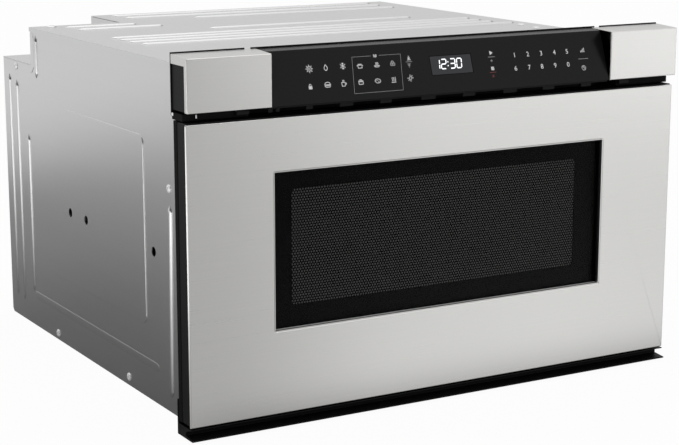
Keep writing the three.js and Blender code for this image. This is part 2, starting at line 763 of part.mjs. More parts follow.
// Turns a closed surface's faces outwards, if they point in.
function outward(geometry) {
  const flat = geometry.index ? geometry.toNonIndexed() : geometry;
  const position = flat.attributes.position;
  const corner = (i) => new THREE.Vector3().fromBufferAttribute(position, i);
  let volume = 0;
  for (let i = 0; i < position.count; i += 3) {
    volume += corner(i).dot(corner(i + 1).cross(corner(i + 2)));
  }
  if (volume >= 0) return flat;
  return mirrored(flat.scale(-1, 1, 1));
}

function arcPoints(centreU, centreV, radius, from, to, steps) {
  return Array.from({ length: steps + 1 }, (_, i) => {
    const angle = from + ((to - from) * i) / steps;
    return [centreU + radius * Math.cos(angle), centreV + radius * Math.sin(angle)];
  });
}

// ---------------------------------------------------------------------------------------
// Assembly
// ---------------------------------------------------------------------------------------

const assembly = new THREE.Group();

function add(name, geometry, material) {
  const mesh = new THREE.Mesh(geometry, new THREE.MeshStandardMaterial({ ...material, flatShading: true }));
  mesh.name = name;
  assembly.add(mesh);
}

const SIDES = [['left', -1], ['right', 1]];

// ---- Sheet-metal body -----------------------------------------------------------------

function sideField() {
  const front = bodyFront + FIELD_FRONT;
  const rear = rearY - FIELD_REAR;
  const bottom = baseZ + FIELD_BOTTOM;
  const top = topZ - FIELD_TOP;
  return outline([
    [front, bottom + FIELD_CORNER], [front + FIELD_CORNER, bottom], [rear - FIELD_CORNER, bottom],
    [rear, bottom + FIELD_CORNER], [rear, top - FIELD_CUT - FIELD_EASE],
    [rear - FIELD_CUT, top - FIELD_EASE], [rear - FIELD_CUT - FIELD_EASE, top],
    [front + FIELD_CORNER, top], [front, top - FIELD_CORNER],
  ]);
}

function sideBeads() {
  const foot = baseZ + BEAD_FOOT;
  const rear = rearY - REAR_BEAD_INSET;
  const next = rearY - NEXT_BEAD_INSET;
  const corner = rearY - CORNER_BEAD_INSET;
  const run = baseZ + CORNER_BEAD_RISE;
  const bend = arcPoints(
    corner - CORNER_BEAD_RADIUS, run + CORNER_BEAD_RADIUS, CORNER_BEAD_RADIUS, 0, -Math.PI / 2, 3,
  );
  const front = bodyFront + FRONT_BEAD_INSET;
  const short = notchY - SHORT_BEAD_INSET;
  const shortTop = topZ - SHORT_BEAD_DROP;
  return [
    [[rear, foot], [rear, notchZ - REAR_BEAD_DROP]],
    [[next, foot], [next, notchZ - NEXT_BEAD_DROP]],
    [[corner, baseZ + CORNER_BEAD_TOP], ...bend, [bodyFront + CORNER_BEAD_FRONT, run]],
    [[front, baseZ + FRONT_BEAD_TOP], [front, foot + BEAD_WIDTH], [front - FRONT_BEAD_BEND, foot]],
    [[short, shortTop - SHORT_BEAD_LENGTH], [short, shortTop]],
  ];
}

function sidePanel(side) {
  const panelTop = topUnder - SEAT;
  const corner = [[bodyFront, baseZ + SEAT], [rearY - REAR_CHAMFER, baseZ + SEAT]];
  corner.push([rearY, baseZ + SEAT + REAR_CHAMFER]);
  if (side < 0) {
    const shelf = notchZ - SHEET - SEAT;
    corner.push([rearY, shelf], [notchY, shelf], [notchY, panelTop], [bodyFront, panelTop]);
  } else {
    corner.push([rearY, panelTop], [bodyFront, panelTop]);
  }
  const foldTop = side < 0 ? notchY - FOLD : rearY - FOLD;
  const rearTop = side < 0 ? notchZ - FOLD : panelTop;
  const rearFold = rearY - SHEET - SEAT;
  const place = (u, v, lift) => [sideOuter + lift, u, v];
  const plate = join(
    alongX(outline(corner), sideInner, sideOuter),
    block(sideOuter - FRONT_FOLD, sideOuter, bodyFront, bodyFront + SHEET, panTop + SEAT, panelTop),
    block(sideOuter - FOLD, sideOuter, bodyFront, foldTop, panelTop - SHEET, panelTop),
    block(sideOuter - FOLD, sideOuter, rearFold - SHEET, rearFold, panTop + SEAT, rearTop),
    alongX(sideField(), sideOuter - SHEET / 2, sideOuter + FIELD_HEIGHT),
    ...sideBeads().map((line) => bead(line, BEAD_WIDTH, BEAD_HEIGHT, place)),
  );
  const holes = [rearY - SIDE_HOLE_REAR, rearY - SIDE_HOLE_MIDDLE, bodyFront + SIDE_HOLE_FRONT];
  const drilled = cut(plate, ...holes.map((y) => (
    rodX(SIDE_HOLE, sideInner - 1, sideOuter + 2, y, baseZ + SIDE_HOLE_RISE, 12))));
  return onSide(drilled, side);
}

// Each rib's left end, right end and line.
function topRibs() {
  const left = -bodyHalf + RIB_LEFT;
  const right = bodyHalf - RIB_RIGHT;
  const rearLine = (i) => rearY - REAR_RIB_INSET - i * REAR_RIB_PITCH;
  const ribs = [
    [notchX + REAR_RIB_START, right, rearLine(0)],
    [notchX + REAR_RIB_START, right, rearLine(1)],
    [notchX + LAST_RIB_START, right, rearLine(2)],
    [-bodyHalf + MIDDLE_RIB_LEFT, bodyHalf - MIDDLE_RIB_RIGHT, bodyFront + MIDDLE_RIB_INSET],
  ];
  for (let i = 0; i < SHORT_RIBS; i += 1) {
    ribs.push([left, notchX + SHORT_RIB_REACH, notchY - SHORT_RIB_INSET - i * SHORT_RIB_PITCH]);
  }
  for (let i = 0; i < FRONT_RIBS; i += 1) {
    ribs.push([left, right, bodyFront + FRONT_RIB_INSET + i * FRONT_RIB_PITCH]);
  }
  return ribs;
}

function topPanel() {
  const corner = [
    [-bodyHalf, bodyFront], [bodyHalf, bodyFront], [bodyHalf, rearY], [notchX, rearY],
    [notchX, notchY], [-bodyHalf, notchY],
  ];
  const place = (u, v, lift) => [u, v, topZ + lift];
  const lip = topZ - TOP_LIP - SHEET;
  return join(
    alongZ(outline(corner), topUnder, topZ),
    block(-bodyHalf, -bodyHalf + SHEET, bodyFront, notchY, lip, topZ),
    block(bodyHalf - SHEET, bodyHalf, bodyFront, rearY, lip, topZ),
    ...topRibs().map(([x0, x1, y]) => bead([[x0, y], [x1, y]], RIB_WIDTH, RIB_HEIGHT, place)),
  );
}

function rearPanel() {
  const bottom = floorTop + SEAT;
  const top = topUnder - SEAT;
  const shelf = notchZ - SHEET - SEAT;
  const inset = notchX + SHEET + SEAT;
  const shape = outline([
    [-coreHalf, bottom], [coreHalf, bottom], [coreHalf, top], [inset, top], [inset, shelf],
    [-coreHalf, shelf],
  ]);
  const fanVents = blowerZ - (REAR_VENT_ROWS - 1) * REAR_VENT_PITCH / 2;
  const banks = [
    [blowerX + FOLD / 2, fanVents, REAR_VENT_ROWS],
    [blowerX + BLOWER_WIDTH + FOLD / 2, fanVents, REAR_VENT_ROWS],
    [transformerX - REAR_VENT_WIDTH, floorTop + LOW_VENT_RISE, LOW_VENT_ROWS],
  ];
  const slots = [];
  for (const [x, low, rows] of banks) {
    for (let row = 0; row < rows; row += 1) {
      const z = low + row * REAR_VENT_PITCH;
      slots.push(block(x, x + REAR_VENT_WIDTH, rearY - SHEET - 1, rearY + 1, z, z + REAR_VENT_HEIGHT));
    }
  }
  return cut(alongY(shape, rearY - SHEET, rearY), ...slots);
}

function rearCornerCover() {
  const floorBottom = notchZ - SHEET;
  const top = topUnder - SEAT;
  const wall = notchY - SHEET;
  const shell = join(
    block(-coreHalf, notchX, wall, rearY, floorBottom, notchZ),
    block(-bodyHalf + SHEET, -coreHalf + SHEET, notchY + SEAT, rearY, floorBottom, notchZ),
    block(-coreHalf, notchX + SHEET, wall, notchY, floorBottom, top),
    block(notchX, notchX + SHEET, wall, rearY, floorBottom, top),
  );
  return cut(shell, rodY(GLAND_RADIUS + SEAT, glandX, wall - 1, notchY + 1, glandZ));
}

function basePan() {
  const front = bodyFront;
  const rear = rearY - SHEET - SEAT;
  const inner = coreHalf - BASE_SHEET;
  const mouth = coreHalf - PAN_RIM;
  const pan = cut(
    block(-coreHalf, coreHalf, front, rear, baseZ, panTop),
    block(-inner, inner, front + BASE_SHEET, rear - BASE_SHEET, floorTop, panTop + 1),
    block(-mouth, mouth, front - 1, front + BASE_SHEET + 1, floorTop + PAN_MOUTH, panTop + 1),
  );
  const slotRear = rearY - PAN_SLOT_INSET;
  const slots = [];
  for (let i = 0; i < PAN_SLOTS; i += 1) {
    const x = transformerX - TRANSFORMER_WIDTH / 2 + i * PAN_SLOT_PITCH;
    slots.push(block(x, x + PAN_SLOT_WIDTH, slotRear - PAN_SLOT_LENGTH, slotRear, baseZ - 1, floorTop + 1));
  }
  return cut(pan, ...slots);
}

function frontFrame() {
  const wideBottom = trimTop + TOP_FLANGE_RISE - TOP_FLANGE_DROP;
  const top = trimTop + TOP_FLANGE_RISE;
  const slotInner = faceHalf - TRIM_WIDTH + FLANGE_SLOT_OUT;
  const slotOuter = slotInner + FLANGE_SLOT;
  const slotBottom = top - FLANGE_SLOT_DEPTH;
  const right = [
    [flangeHalf, baseZ + FLANGE_FOOT], [flangeHalf, wideBottom], [faceHalf, wideBottom], [faceHalf, top],
    [slotOuter, top], [slotOuter, slotBottom], [slotInner, slotBottom], [slotInner, top],
  ];
  const left = right.map(([x, z]) => [-x, z]).reverse();
  const plate = alongY(outline([...right, ...left]), flangeFront, FRONT_DEPTH);
  const through = (x0, x1, z0, z1) => block(x0, x1, flangeFront - 1, FRONT_DEPTH + 1, z0, z1);
  const mouth = alongY(
    roundedRect(-cavityHalf, cavityHalf, CAVITY_RISE, cavityTop, CAVITY_RADIUS),
    flangeFront - 1, FRONT_DEPTH + 1,
  );
  const tools = [mouth];
  const margin = FRAME_MARGIN;
  const railTop = RAIL_RISE + RAIL_HEIGHT / 2 + margin;
  const railBottom = bracketBottom - margin;
  const rackInner = rackPitch - MODULE - margin;
  const hookHalf = HOOK_HALF + margin;
  for (const side of [-1, 1]) {
    const mirrorX = (x0, x1) => (side > 0 ? [x0, x1] : [-x1, -x0]);
    tools.push(through(...mirrorX(cavityHalf + CAVITY_FLANGE + margin, railOutset), railBottom, railTop));
    tools.push(through(...mirrorX(rackInner, railOutset), railBottom, rackBottom + RACK_FACE + margin));
    tools.push(through(
      ...mirrorX(latchX - HOOK_WIDTH / 2 - margin, latchX + HOOK_WIDTH / 2 + margin),
      latchZ - hookHalf, latchZ + hookHalf,
    ));
    for (const z of [FRAME_HOLE_RISE, DOOR_HEIGHT - FRAME_HOLE_DROP]) {
      const x = side * (flangeHalf - FRAME_HOLE_EDGE);
      tools.push(rodY(FRAME_HOLE, x, flangeFront - 1, FRONT_DEPTH + 1, z, 8));
    }
  }
  const ventTop = DOOR_HEIGHT - FRAME_VENT_DROP;
  for (let i = 0; i < FRAME_VENTS; i += 1) {
    const x = (i - (FRAME_VENTS - 1) / 2) * FRAME_VENT_PITCH - FRAME_VENT_WIDTH / 2;
    tools.push(through(x, x + FRAME_VENT_WIDTH, ventTop - FRAME_VENT_HEIGHT, ventTop));
  }
  return cut(plate, ...tools);
}

function bottomChannel() {
  const bottom = -CHANNEL_DROP;
  const noseTop = bottom + CHANNEL_NOSE;
  const lipTop = -CHANNEL_GAP;
  const lipUnder = lipTop - CHANNEL_LIP;
  const throat = CHANNEL_THROAT;
  const section = outline([
    [housingRear, bottom], [housingRear, lipTop], [-SEAT, lipTop], [-SEAT, lipUnder],
    [throat - CHANNEL_SLOPE, lipUnder - CHANNEL_LIP], [throat, lipUnder - CHANNEL_LIP - CHANNEL_STEP],
    [throat, noseTop + CHANNEL_RAMP], [-CHANNEL_PROUD, noseTop], [-CHANNEL_PROUD, bottom],
  ]);
  const earInner = flangeHalf + CHANNEL_EAR_INSET;
  const ear = block(earInner, faceHalf, DOOR_DEPTH + 1, housingRear, bottom, CHANNEL_EAR);
  return join(alongX(section, -faceHalf, faceHalf), ear, mirrored(ear));
}

// ---- Control panel --------------------------------------------------------------------

const fasciaBottom = [frontY + FASCIA_RECESS, trimBottom];
const fasciaTop = [fasciaBottom[0] + FASCIA_SETBACK, trimTop];
const fasciaHalf = faceHalf - TRIM_WIDTH - FASCIA_GAP;
const lean = Math.atan2(fasciaTop[0] - fasciaBottom[0], fasciaTop[1] - fasciaBottom[1]);
const housingFront = frontY + TRIM_SHEET + SEAT;
const housingFloor = trimBottom - SEAT - HOUSING_WALL;

// A block on the sloping panel: x and up along its face, back into the panel from it.
function onFascia(x0, x1, up0, up1, back0, back1) {
  return block(x0, x1, back0, back1, up0, up1)
    .rotateX(-lean)
    .translate(0, fasciaBottom[0], fasciaBottom[1]);
}

function controlFascia() {
  const rear = [housingRear, trimTop + FASCIA_REAR_RISE];
  const profile = strip([
    [fasciaBottom[0] + PANEL_LIP, fasciaBottom[1]],
    fasciaBottom, fasciaTop, rear,
  ].reverse(), FASCIA_WALL);
  const shell = alongX(profile, -fasciaHalf, fasciaHalf);
  return cut(shell, onFascia(...displayBox(0), -1, FASCIA_WALL + 1));
}

// The display window grown on all sides: left, right, bottom and top.
const displayBox = (grow, growUp = grow) => [
  DISPLAY_LEFT - grow, DISPLAY_RIGHT + grow, DISPLAY_BOTTOM - growUp, DISPLAY_TOP + growUp,
];

function displayLens() {
  return onFascia(...displayBox(-SEAT), LENS_RECESS, FASCIA_WALL - LENS_RECESS);
}

function touchKeypad() {
  const back = FASCIA_WALL + SEAT;
  const half = fasciaHalf - KEYPAD_MARGIN;
  const sheet = onFascia(-half, half, KEYPAD_BOTTOM, KEYPAD_TOP, back, back + KEYPAD_SHEET);
  return cut(sheet, onFascia(...displayBox(KEYPAD_WINDOW), back - 1, back + KEYPAD_SHEET + 1));
}

function displayModule() {
  const back = FASCIA_WALL + SEAT;
  const rear = back + DISPLAY_DEPTH;
  return join(
    onFascia(...displayBox(DISPLAY_MARGIN), back, rear),
    onFascia(...displayBox(DISPLAY_FLANGE, DISPLAY_FLANGE_RISE), rear - 1, rear + 1),
  );
}

function controlHousing() {
  const inner = faceHalf - TRIM_WIDTH + HOUSING_OVERLAP;
  const outer = faceHalf - TRIM_SHEET - SEAT;
  const sheetUnder = trimTop - TRIM_SHEET - SEAT;
  const endBottom = trimBottom + SEAT;
  const endSection = outline([
    [housingFront, endBottom], [housingRear, endBottom], [housingRear, sheetUnder + TRIM_RISE],
    [housingFront, sheetUnder],
  ]);
  const wall = HOUSING_WALL;
  const end = cut(
    alongX(endSection, inner, outer),
    block(
      inner + wall, outer - wall, housingFront + wall, housingRear + 1, endBottom + wall, sheetUnder - wall,
    ),
  );
  const reach = inner + 1;
  const front = fasciaBottom[0] + HOUSING_SETBACK;
  const floor = block(-reach, reach, front, housingRear, housingFloor, housingFloor + wall);
  const sill = block(-reach, reach, housingRear - wall, housingRear, housingFloor, endBottom + HOUSING_SILL);
  const postFront = housingRear - HOUSING_POST;
  const post = block(inner, inner + wall, postFront, housingRear, housingFloor, endBottom + wall);
  const clipHalf = CLIP_WIDTH / 2;
  const clips = [-CLIP_PITCH, 0, CLIP_PITCH].map((x) => block(
    x - clipHalf, x + clipHalf, housingRear - wall, housingRear, housingFloor, trimTop - CLIP_DROP,
  ));
  return join(end, mirrored(end), floor, sill, post, mirrored(post), ...clips);
}

function cornerTrim(side) {
  const inner = faceHalf - TRIM_WIDTH;
  const front = block(inner, faceHalf, frontY, frontY + TRIM_SHEET, trimBottom, trimTop);
  const topSection = outline([
    [frontY, trimTop - TRIM_SHEET], [housingRear, trimTop - TRIM_SHEET + TRIM_RISE],
    [housingRear, trimTop + TRIM_RISE], [frontY, trimTop],
  ]);
  const top = alongX(topSection, inner, faceHalf);
  const lipSection = outline([
    [frontY, trimBottom], [frontY + TRIM_RETURN, trimBottom], [frontY + TRIM_RETURN, trimTop - TRIM_LIP],
    [housingRear, trimTop - TRIM_LIP], [housingRear, trimTop + TRIM_RISE], [frontY, trimTop],
  ]);
  const lip = alongX(lipSection, faceHalf - TRIM_SHEET, faceHalf);
  return onSide(join(front, top, lip), side);
}

function controlBoard() {
  const rear = housingRear - HOUSING_WALL - SEAT;
  const front = rear - BOARD_SHEET;
  const root = front + BOARD_SHEET / 2;
  const bottom = housingFloor + HOUSING_WALL + BOARD_EDGE;
  const low = bottom + BOARD_EDGE;
  const half = CONTROL_BOARD_WIDTH / 2;
  const onBoard = (x, width, height, depth) => block(x, x + width, front - depth, root, low, low + height);
  const pieces = [block(-half, half, front, rear, bottom, bottom + CONTROL_BOARD_HEIGHT)];
  for (let i = 0; i < RELAYS; i += 1) {
    pieces.push(onBoard(-half + RELAY_WIDTH + i * RELAY_PITCH, RELAY_WIDTH, RELAY_HEIGHT, RELAY_DEPTH));
  }
  for (let i = 0; i < BOARD_CAPACITORS; i += 1) {
    const x = BOARD_CAPACITOR_START + i * BOARD_CAPACITOR_PITCH;
    const z = low + BOARD_CAPACITOR + BOARD_EDGE;
    pieces.push(rodY(BOARD_CAPACITOR, x, front - BOARD_CAPACITOR_DEPTH, root, z, 10));
  }
  pieces.push(onBoard(BOARD_COIL_START, BOARD_COIL_WIDTH, BOARD_COIL_HEIGHT, BOARD_COIL_DEPTH));
  pieces.push(onBoard(PLUG_START, PLUG_WIDTH, PLUG_HEIGHT, PLUG_DEPTH));
  return join(...pieces);
}

// ---- Drawer front ---------------------------------------------------------------------

const windowShape = (kind, grow = 0) => roundedRect(
  -windowHalf - grow, windowHalf + grow, WINDOW_RISE - grow, windowTop + grow, WINDOW_RADIUS + grow, kind,
);

function doorSkin() {
  const face = roundedRect(-faceHalf, faceHalf, 0, DOOR_HEIGHT, SKIN_RADIUS);
  const plate = alongY(ringShape(face, windowShape(THREE.Path)), 0, SKIN);
  const sleeve = ringShape(windowShape(THREE.Shape), windowShape(THREE.Path, -SLEEVE_WALL));
  return join(plate, alongY(sleeve, SEAT, SLEEVE_DEPTH));
}

function doorFrame() {
  const half = faceHalf - FRAME_INSET;
  const bottom = FRAME_INSET;
  const top = DOOR_HEIGHT + FRAME_TOP_RISE;
  const web = glassFront - SEAT;
  const body = alongY(roundedRect(-half, half, bottom, top, FRAME_RADIUS), frameFront, DOOR_DEPTH);
  const pocket = block(
    -half + FRAME_WALL, half - FRAME_WALL, web, DOOR_DEPTH + 1, bottom + FRAME_WALL, top - FRAME_WALL,
  );
  const view = alongY(windowShape(THREE.Shape, SEAT), frameFront - 1, web + 1);
  return cut(body, pocket, view);
}

const glassHalf = windowHalf + GLASS_MARGIN;
const glassBottom = WINDOW_RISE - GLASS_MARGIN;
const glassTop = windowTop + GLASS_MARGIN;

function doorGlass() {
  const pane = roundedRect(-glassHalf, glassHalf, glassBottom, glassTop, GLASS_RADIUS);
  return alongY(pane, glassFront, glassRear);
}

function glassGasket() {
  const pane = (inset, kind) => roundedRect(
    -glassHalf + inset, glassHalf - inset, glassBottom + inset, glassTop - inset, GLASS_RADIUS, kind,
  );
  const ring = ringShape(pane(GASKET_INSET), pane(GASKET_INSET + GASKET_BAND, THREE.Path));
  return alongY(ring, gasketFront, gasketFront + GASKET);
}

const throatHalf = tubHalf + SEAT;
const throatBottom = tubBottom - SEAT;

function chokeScreen() {
  const half = chokeHalf;
  const s = CHOKE_SHEET;
  const plate = block(-half, half, chokeFront, chokeFront + s, CHOKE_BOTTOM, chokeTop);
  const outer = cut(
    block(-half, half, chokeFront, chokeRear, CHOKE_BOTTOM, chokeTop),
    block(-half + s, half - s, chokeFront - 1, chokeRear + 1, CHOKE_BOTTOM + s, chokeTop - s),
  );
  const inner = cut(
    block(-throatHalf - s, throatHalf + s, chokeFront, chokeRear, throatBottom - s, throatTop + s),
    block(-throatHalf, throatHalf, chokeFront - 1, chokeRear + 1, throatBottom, throatTop),
  );
  return join(plate, outer, inner);
}

function chokeCover() {
  const inset = CHOKE_COVER_INSET;
  const half = chokeHalf - inset;
  const front = chokeRear + SEAT;
  const rear = front + CHOKE_COVER;
  const gap = CHOKE_THROAT_GAP;
  return cut(
    block(-half, half, front, rear, CHOKE_BOTTOM + inset, chokeTop - inset),
    block(-throatHalf - gap, throatHalf + gap, front - 1, rear + 1, throatBottom - gap, throatTop + gap),
  );
}

// ---- Tub, tray and cavity -------------------------------------------------------------

// Plan of the tub: square at the front, rounded at the rear corners.
function tubPlan(inset, kind = THREE.Shape) {
  const half = tubHalf - inset;
  const radius = TUB_RADIUS - inset;
  const rear = tubRear - inset;
  const plan = new kind();
  plan.moveTo(-half, tubFront);
  plan.lineTo(half, tubFront);
  plan.absarc(half - radius, rear - radius, radius, 0, Math.PI / 2);
  plan.absarc(-half + radius, rear - radius, radius, Math.PI / 2, Math.PI);
  plan.closePath();
  return plan;
}

function drawerTub() {
  const outer = alongZ(tubPlan(0), tubBottom, tubTop, 4);
  const hollow = alongZ(tubPlan(TUB_WALL), tubBottom + TUB_WALL, tubTop + 1, 4);
  const inner = tubHalf - TUB_WALL;
  const mouth = block(-inner, inner, tubFront - 1, tubFront + TUB_MOUTH, tubBottom + TUB_WALL, tubTop + 1);
  const rimFront = DOOR_DEPTH + TUB_RIM_START;
  const rimRear = tubRear - TUB_RADIUS;
  const rim = block(inner, tubHalf + TUB_RIM, rimFront, rimRear, tubTop - RIM_HEIGHT, tubTop);
  return join(cut(outer, hollow, mouth), rim, mirrored(rim));
}

function tubTray() {
  const half = tubHalf - TUB_WALL - TRAY_MARGIN;
  const front = tubFront + TRAY_MARGIN;
  const rear = tubRear - TUB_WALL - TRAY_MARGIN;
  const bottom = tubBottom + TUB_WALL + SEAT;
  return alongZ(roundedRect(-half, half, front, rear, TRAY_RADIUS), bottom, bottom + TRAY_THICKNESS, 4);
}

function ovenCavity() {
  const section = (grow, kind) => roundedRect(
    -cavityHalf - grow, cavityHalf + grow, CAVITY_RISE - grow, cavityTop + grow, CAVITY_RADIUS + grow, kind,
  );
  const walls = alongY(ringShape(section(SHEET), section(0, THREE.Path)), bodyFront, cavityRear);
  const back = alongY(section(SHEET), cavityRear, cavityRear + SHEET);
  const edge = CAVITY_FLANGE;
  const flange = alongY(ringShape(outline([
    [-cavityHalf - edge, CAVITY_RISE - edge], [cavityHalf + edge, CAVITY_RISE - edge],
    [cavityHalf + edge, cavityTop + edge], [-cavityHalf - edge, cavityTop + edge],
  ]), section(0, THREE.Path)), bodyFront, bodyFront + SHEET);
  return cut(
    join(walls, back, flange),
    rodZ(FEED_RADIUS, 0, stirrerY, cavityTop - 1, roofZ + 1, 20),
    rodZ(LAMP_HOLE, lampX, lampY, cavityTop - 1, roofZ + 1, 10),
  );
}

// ---- Slides and rack drive ------------------------------------------------------------

// One of three nested C-shaped members. back is how far its web stands off the rail's back.
function slideMember(back, halfHeight, openTo, y0, y1) {
  const web = railOutset - back;
  const tip = railOutset - openTo;
  const profile = strip([
    [tip, RAIL_RISE - halfHeight], [web, RAIL_RISE - halfHeight],
    [web, RAIL_RISE + halfHeight], [tip, RAIL_RISE + halfHeight],
  ], RAIL_SHEET);
  return alongY(profile, y0, y1);
}

function slideOuter() {
  return slideMember(0, RAIL_HEIGHT / 2, RAIL_DEPTH - OUTER_LIP, railFront, railFront + RAIL_LENGTH);
}

function slideMiddle() {
  const back = RAIL_SHEET + RUN;
  const halfHeight = RAIL_HEIGHT / 2 - back;
  return slideMember(back, halfHeight, RAIL_DEPTH - MIDDLE_LIP, railFront, railFront + RAIL_LENGTH);
}

// The inner member's web is at the drawer's side, and its flanges point to the rail's back.
function slideInner() {
  const halfHeight = RAIL_HEIGHT / 2 - 2 * (RAIL_SHEET + RUN);
  const tip = railOutset - 2 * (RAIL_SHEET + RUN) - RUN;
  const profile = strip([
    [tip, RAIL_RISE + halfHeight], [railInner, RAIL_RISE + halfHeight],
    [railInner, RAIL_RISE - halfHeight], [tip, RAIL_RISE - halfHeight],
  ], RAIL_SHEET);
  return alongY(profile, railFront - 1, railFront + RAIL_LENGTH);
}

function railSupport() {
  const x0 = railOutset + SEAT;
  const x1 = x0 + RAIL_SHEET;
  const bottom = floorTop + SEAT;
  const top = RAIL_RISE + RAIL_HEIGHT / 2 + SUPPORT_RISE;
  const rear = railFront + RAIL_LENGTH;
  const wall = block(x0, x1, railFront + 1, rear, bottom, top);
  const windows = Array.from({ length: SUPPORT_HOLES }, (_, i) => (
    rodX(SUPPORT_HOLE, x0 - 1, x1 + 1, SUPPORT_HOLE_START + i * SUPPORT_HOLE_PITCH, SUPPORT_HOLE_Z, 8)));
  const foot = block(x0 - RAIL_FOOT, x1, railFront + 1, rear, bottom, bottom + RAIL_SHEET);
  return join(cut(wall, ...windows), foot);
}

function drawerBracket(side) {
  const rear = railFront + RAIL_LENGTH;
  const bottom = bracketBottom;
  const top = bottom + BRACKET_HEIGHT;
  const webFront = glassFront;
  const web = block(bracketInner, bracketOuter, webFront, rear, bottom, top);
  const footTop = top + BRACKET_FOOT_RISE;
  const foot = block(
    bracketInner, bracketOuter + BRACKET_FOOT, webFront, webFront + RAIL_SHEET, bottom, footTop,
  );
  const slots = Array.from({ length: BRACKET_SLOTS }, (_, i) => {
    const y = BRACKET_SLOT_START + i * BRACKET_SLOT_PITCH;
    return block(
      bracketInner - 1, bracketOuter + 1, y, y + BRACKET_SLOT_LENGTH,
      bottom + BRACKET_SLOT_BOTTOM, top - BRACKET_SLOT_TOP,
    );
  });
  const ledgeInner = side > 0 ? rackRoot : bracketInner - BRACKET_LEDGE;
  const ledgeFront = DOOR_DEPTH + TUB_RIM_START;
  const ledge = block(ledgeInner, bracketOuter, ledgeFront, rear, bottom, bottom + RAIL_SHEET);
  return onSide(join(cut(web, ...slots), foot, ledge), side);
}

// Straight-sided rack teeth on the left of a bar that runs front to rear.
function gearRack() {
  const pitch = toothPitch;
  const flank = Math.tan(PRESSURE_ANGLE);
  const tip = rackPitch - MODULE;
  const halfPitch = pitch / 4 - BACKLASH / 2;
  const halfTip = halfPitch - MODULE * flank;
  const halfRoot = halfPitch + dedendum * flank;
  // The pinion has a tooth on the line to the rack, so the rack has a gap there.
  const shift = ((pinionY - RACK_START) % pitch) + pitch / 2;
  const first = RACK_START + (shift % pitch) - pitch;
  const rear = RACK_START + rackTeeth * pitch;
  const line = [[rackRoot + RACK_BODY, RACK_START - pitch], [rackRoot + RACK_BODY, rear], [rackRoot, rear]];
  for (let i = rackTeeth - 1; i >= 0; i -= 1) {
    const y = first + i * pitch;
    line.push([rackRoot, y + halfRoot], [tip, y + halfTip], [tip, y - halfTip], [rackRoot, y - halfRoot]);
  }
  line.push([rackRoot, RACK_START - pitch]);
  return alongZ(outline(line), rackBottom, rackBottom + RACK_FACE);
}

// Involute spur gear, centred on the Z axis, with one tooth pointing along +X.
function spurGear(teeth, face) {
  const pitchRadius = (MODULE * teeth) / 2;
  const baseRadius = pitchRadius * Math.cos(PRESSURE_ANGLE);
  const tipRadius = pitchRadius + MODULE;
  const rootRadius = pitchRadius - dedendum;
  const rollAt = (radius) => Math.sqrt(Math.max((radius / baseRadius) ** 2 - 1, 0));
  const involute = (radius) => rollAt(radius) - Math.atan(rollAt(radius));
  const halfTooth = Math.PI / (2 * teeth) - BACKLASH / 2 / pitchRadius + involute(pitchRadius);
  const radii = [
    baseRadius, (baseRadius + pitchRadius) / 2, pitchRadius, (pitchRadius + tipRadius) / 2, tipRadius,
  ];
  const line = [];
  const put = (radius, angle) => line.push([radius * Math.cos(angle), radius * Math.sin(angle)]);
  for (let i = 0; i < teeth; i += 1) {
    const centre = (2 * Math.PI * i) / teeth;
    const rootHalf = halfTooth - involute(baseRadius);
    put(rootRadius, centre - rootHalf);
    radii.forEach((radius) => put(radius, centre - halfTooth + involute(radius)));
    [...radii].reverse().forEach((radius) => put(radius, centre + halfTooth - involute(radius)));
    put(rootRadius, centre + rootHalf);
  }
  return alongZ(outline(line), 0, face);
}

const motorBottom = floorTop + SEAT + MOTOR_PLATE + SEAT;
const motorTop = motorBottom + MOTOR_HEIGHT;
const earBottom = motorTop - MOTOR_EAR_DROP - MOTOR_EAR_SHEET;

function drivePinion() {
  const gear = spurGear(PINION_TEETH, RACK_FACE - 1).translate(pinionX, pinionY, rackBottom + RUN);
  const hubBottom = rackBottom + RACK_FACE - 1;
  const hub = rodZ(HUB_RADIUS, pinionX, pinionY, hubBottom, hubBottom + HUB_RISE);
  const shaft = rodZ(SHAFT_RADIUS, pinionX, pinionY, motorTop - SHAFT_DEPTH, rackBottom + 1);
  return join(gear, hub, shaft);
}

function driveMotor() {
  const can = rodZ(MOTOR_RADIUS, pinionX, pinionY, motorBottom, motorTop, 24);
  const reach = MOTOR_RADIUS + MOTOR_EAR;
  const ears = block(
    pinionX - reach, pinionX + reach, pinionY - MOTOR_EAR_WIDTH / 2, pinionY + MOTOR_EAR_WIDTH / 2,
    earBottom, earBottom + MOTOR_EAR_SHEET,
  );
  const plugBottom = motorBottom + 2;
  const plug = block(
    pinionX - MOTOR_PLUG_WIDTH / 2, pinionX + MOTOR_PLUG_WIDTH / 2,
    pinionY + MOTOR_RADIUS * 0.8, pinionY + MOTOR_RADIUS + MOTOR_PLUG_REACH,
    plugBottom, plugBottom + MOTOR_PLUG_HEIGHT,
  );
  const bore = rodZ(SHAFT_RADIUS + RUN, pinionX, pinionY, motorTop - SHAFT_DEPTH - 2, motorTop + 1);
  return cut(join(can, ears, plug), bore);
}

function driveMotorBracket() {
  const bottom = floorTop + SEAT;
  const reach = MOTOR_RADIUS + MOTOR_PLATE_REACH;
  const halfDepth = MOTOR_PLATE_DEPTH / 2;
  const plate = block(
    pinionX - reach, pinionX + reach, pinionY - halfDepth, pinionY + halfDepth, bottom, bottom + MOTOR_PLATE,
  );
  const half = MOTOR_POST / 2;
  const post = (side) => {
    const x = pinionX + side * (MOTOR_RADIUS + MOTOR_POST_OUT);
    const root = bottom + MOTOR_PLATE / 2;
    return block(x - half, x + half, pinionY - half, pinionY + half, root, earBottom - SEAT);
  };
  return join(plate, post(1), post(-1));
}

// ---- Interlocks -----------------------------------------------------------------------

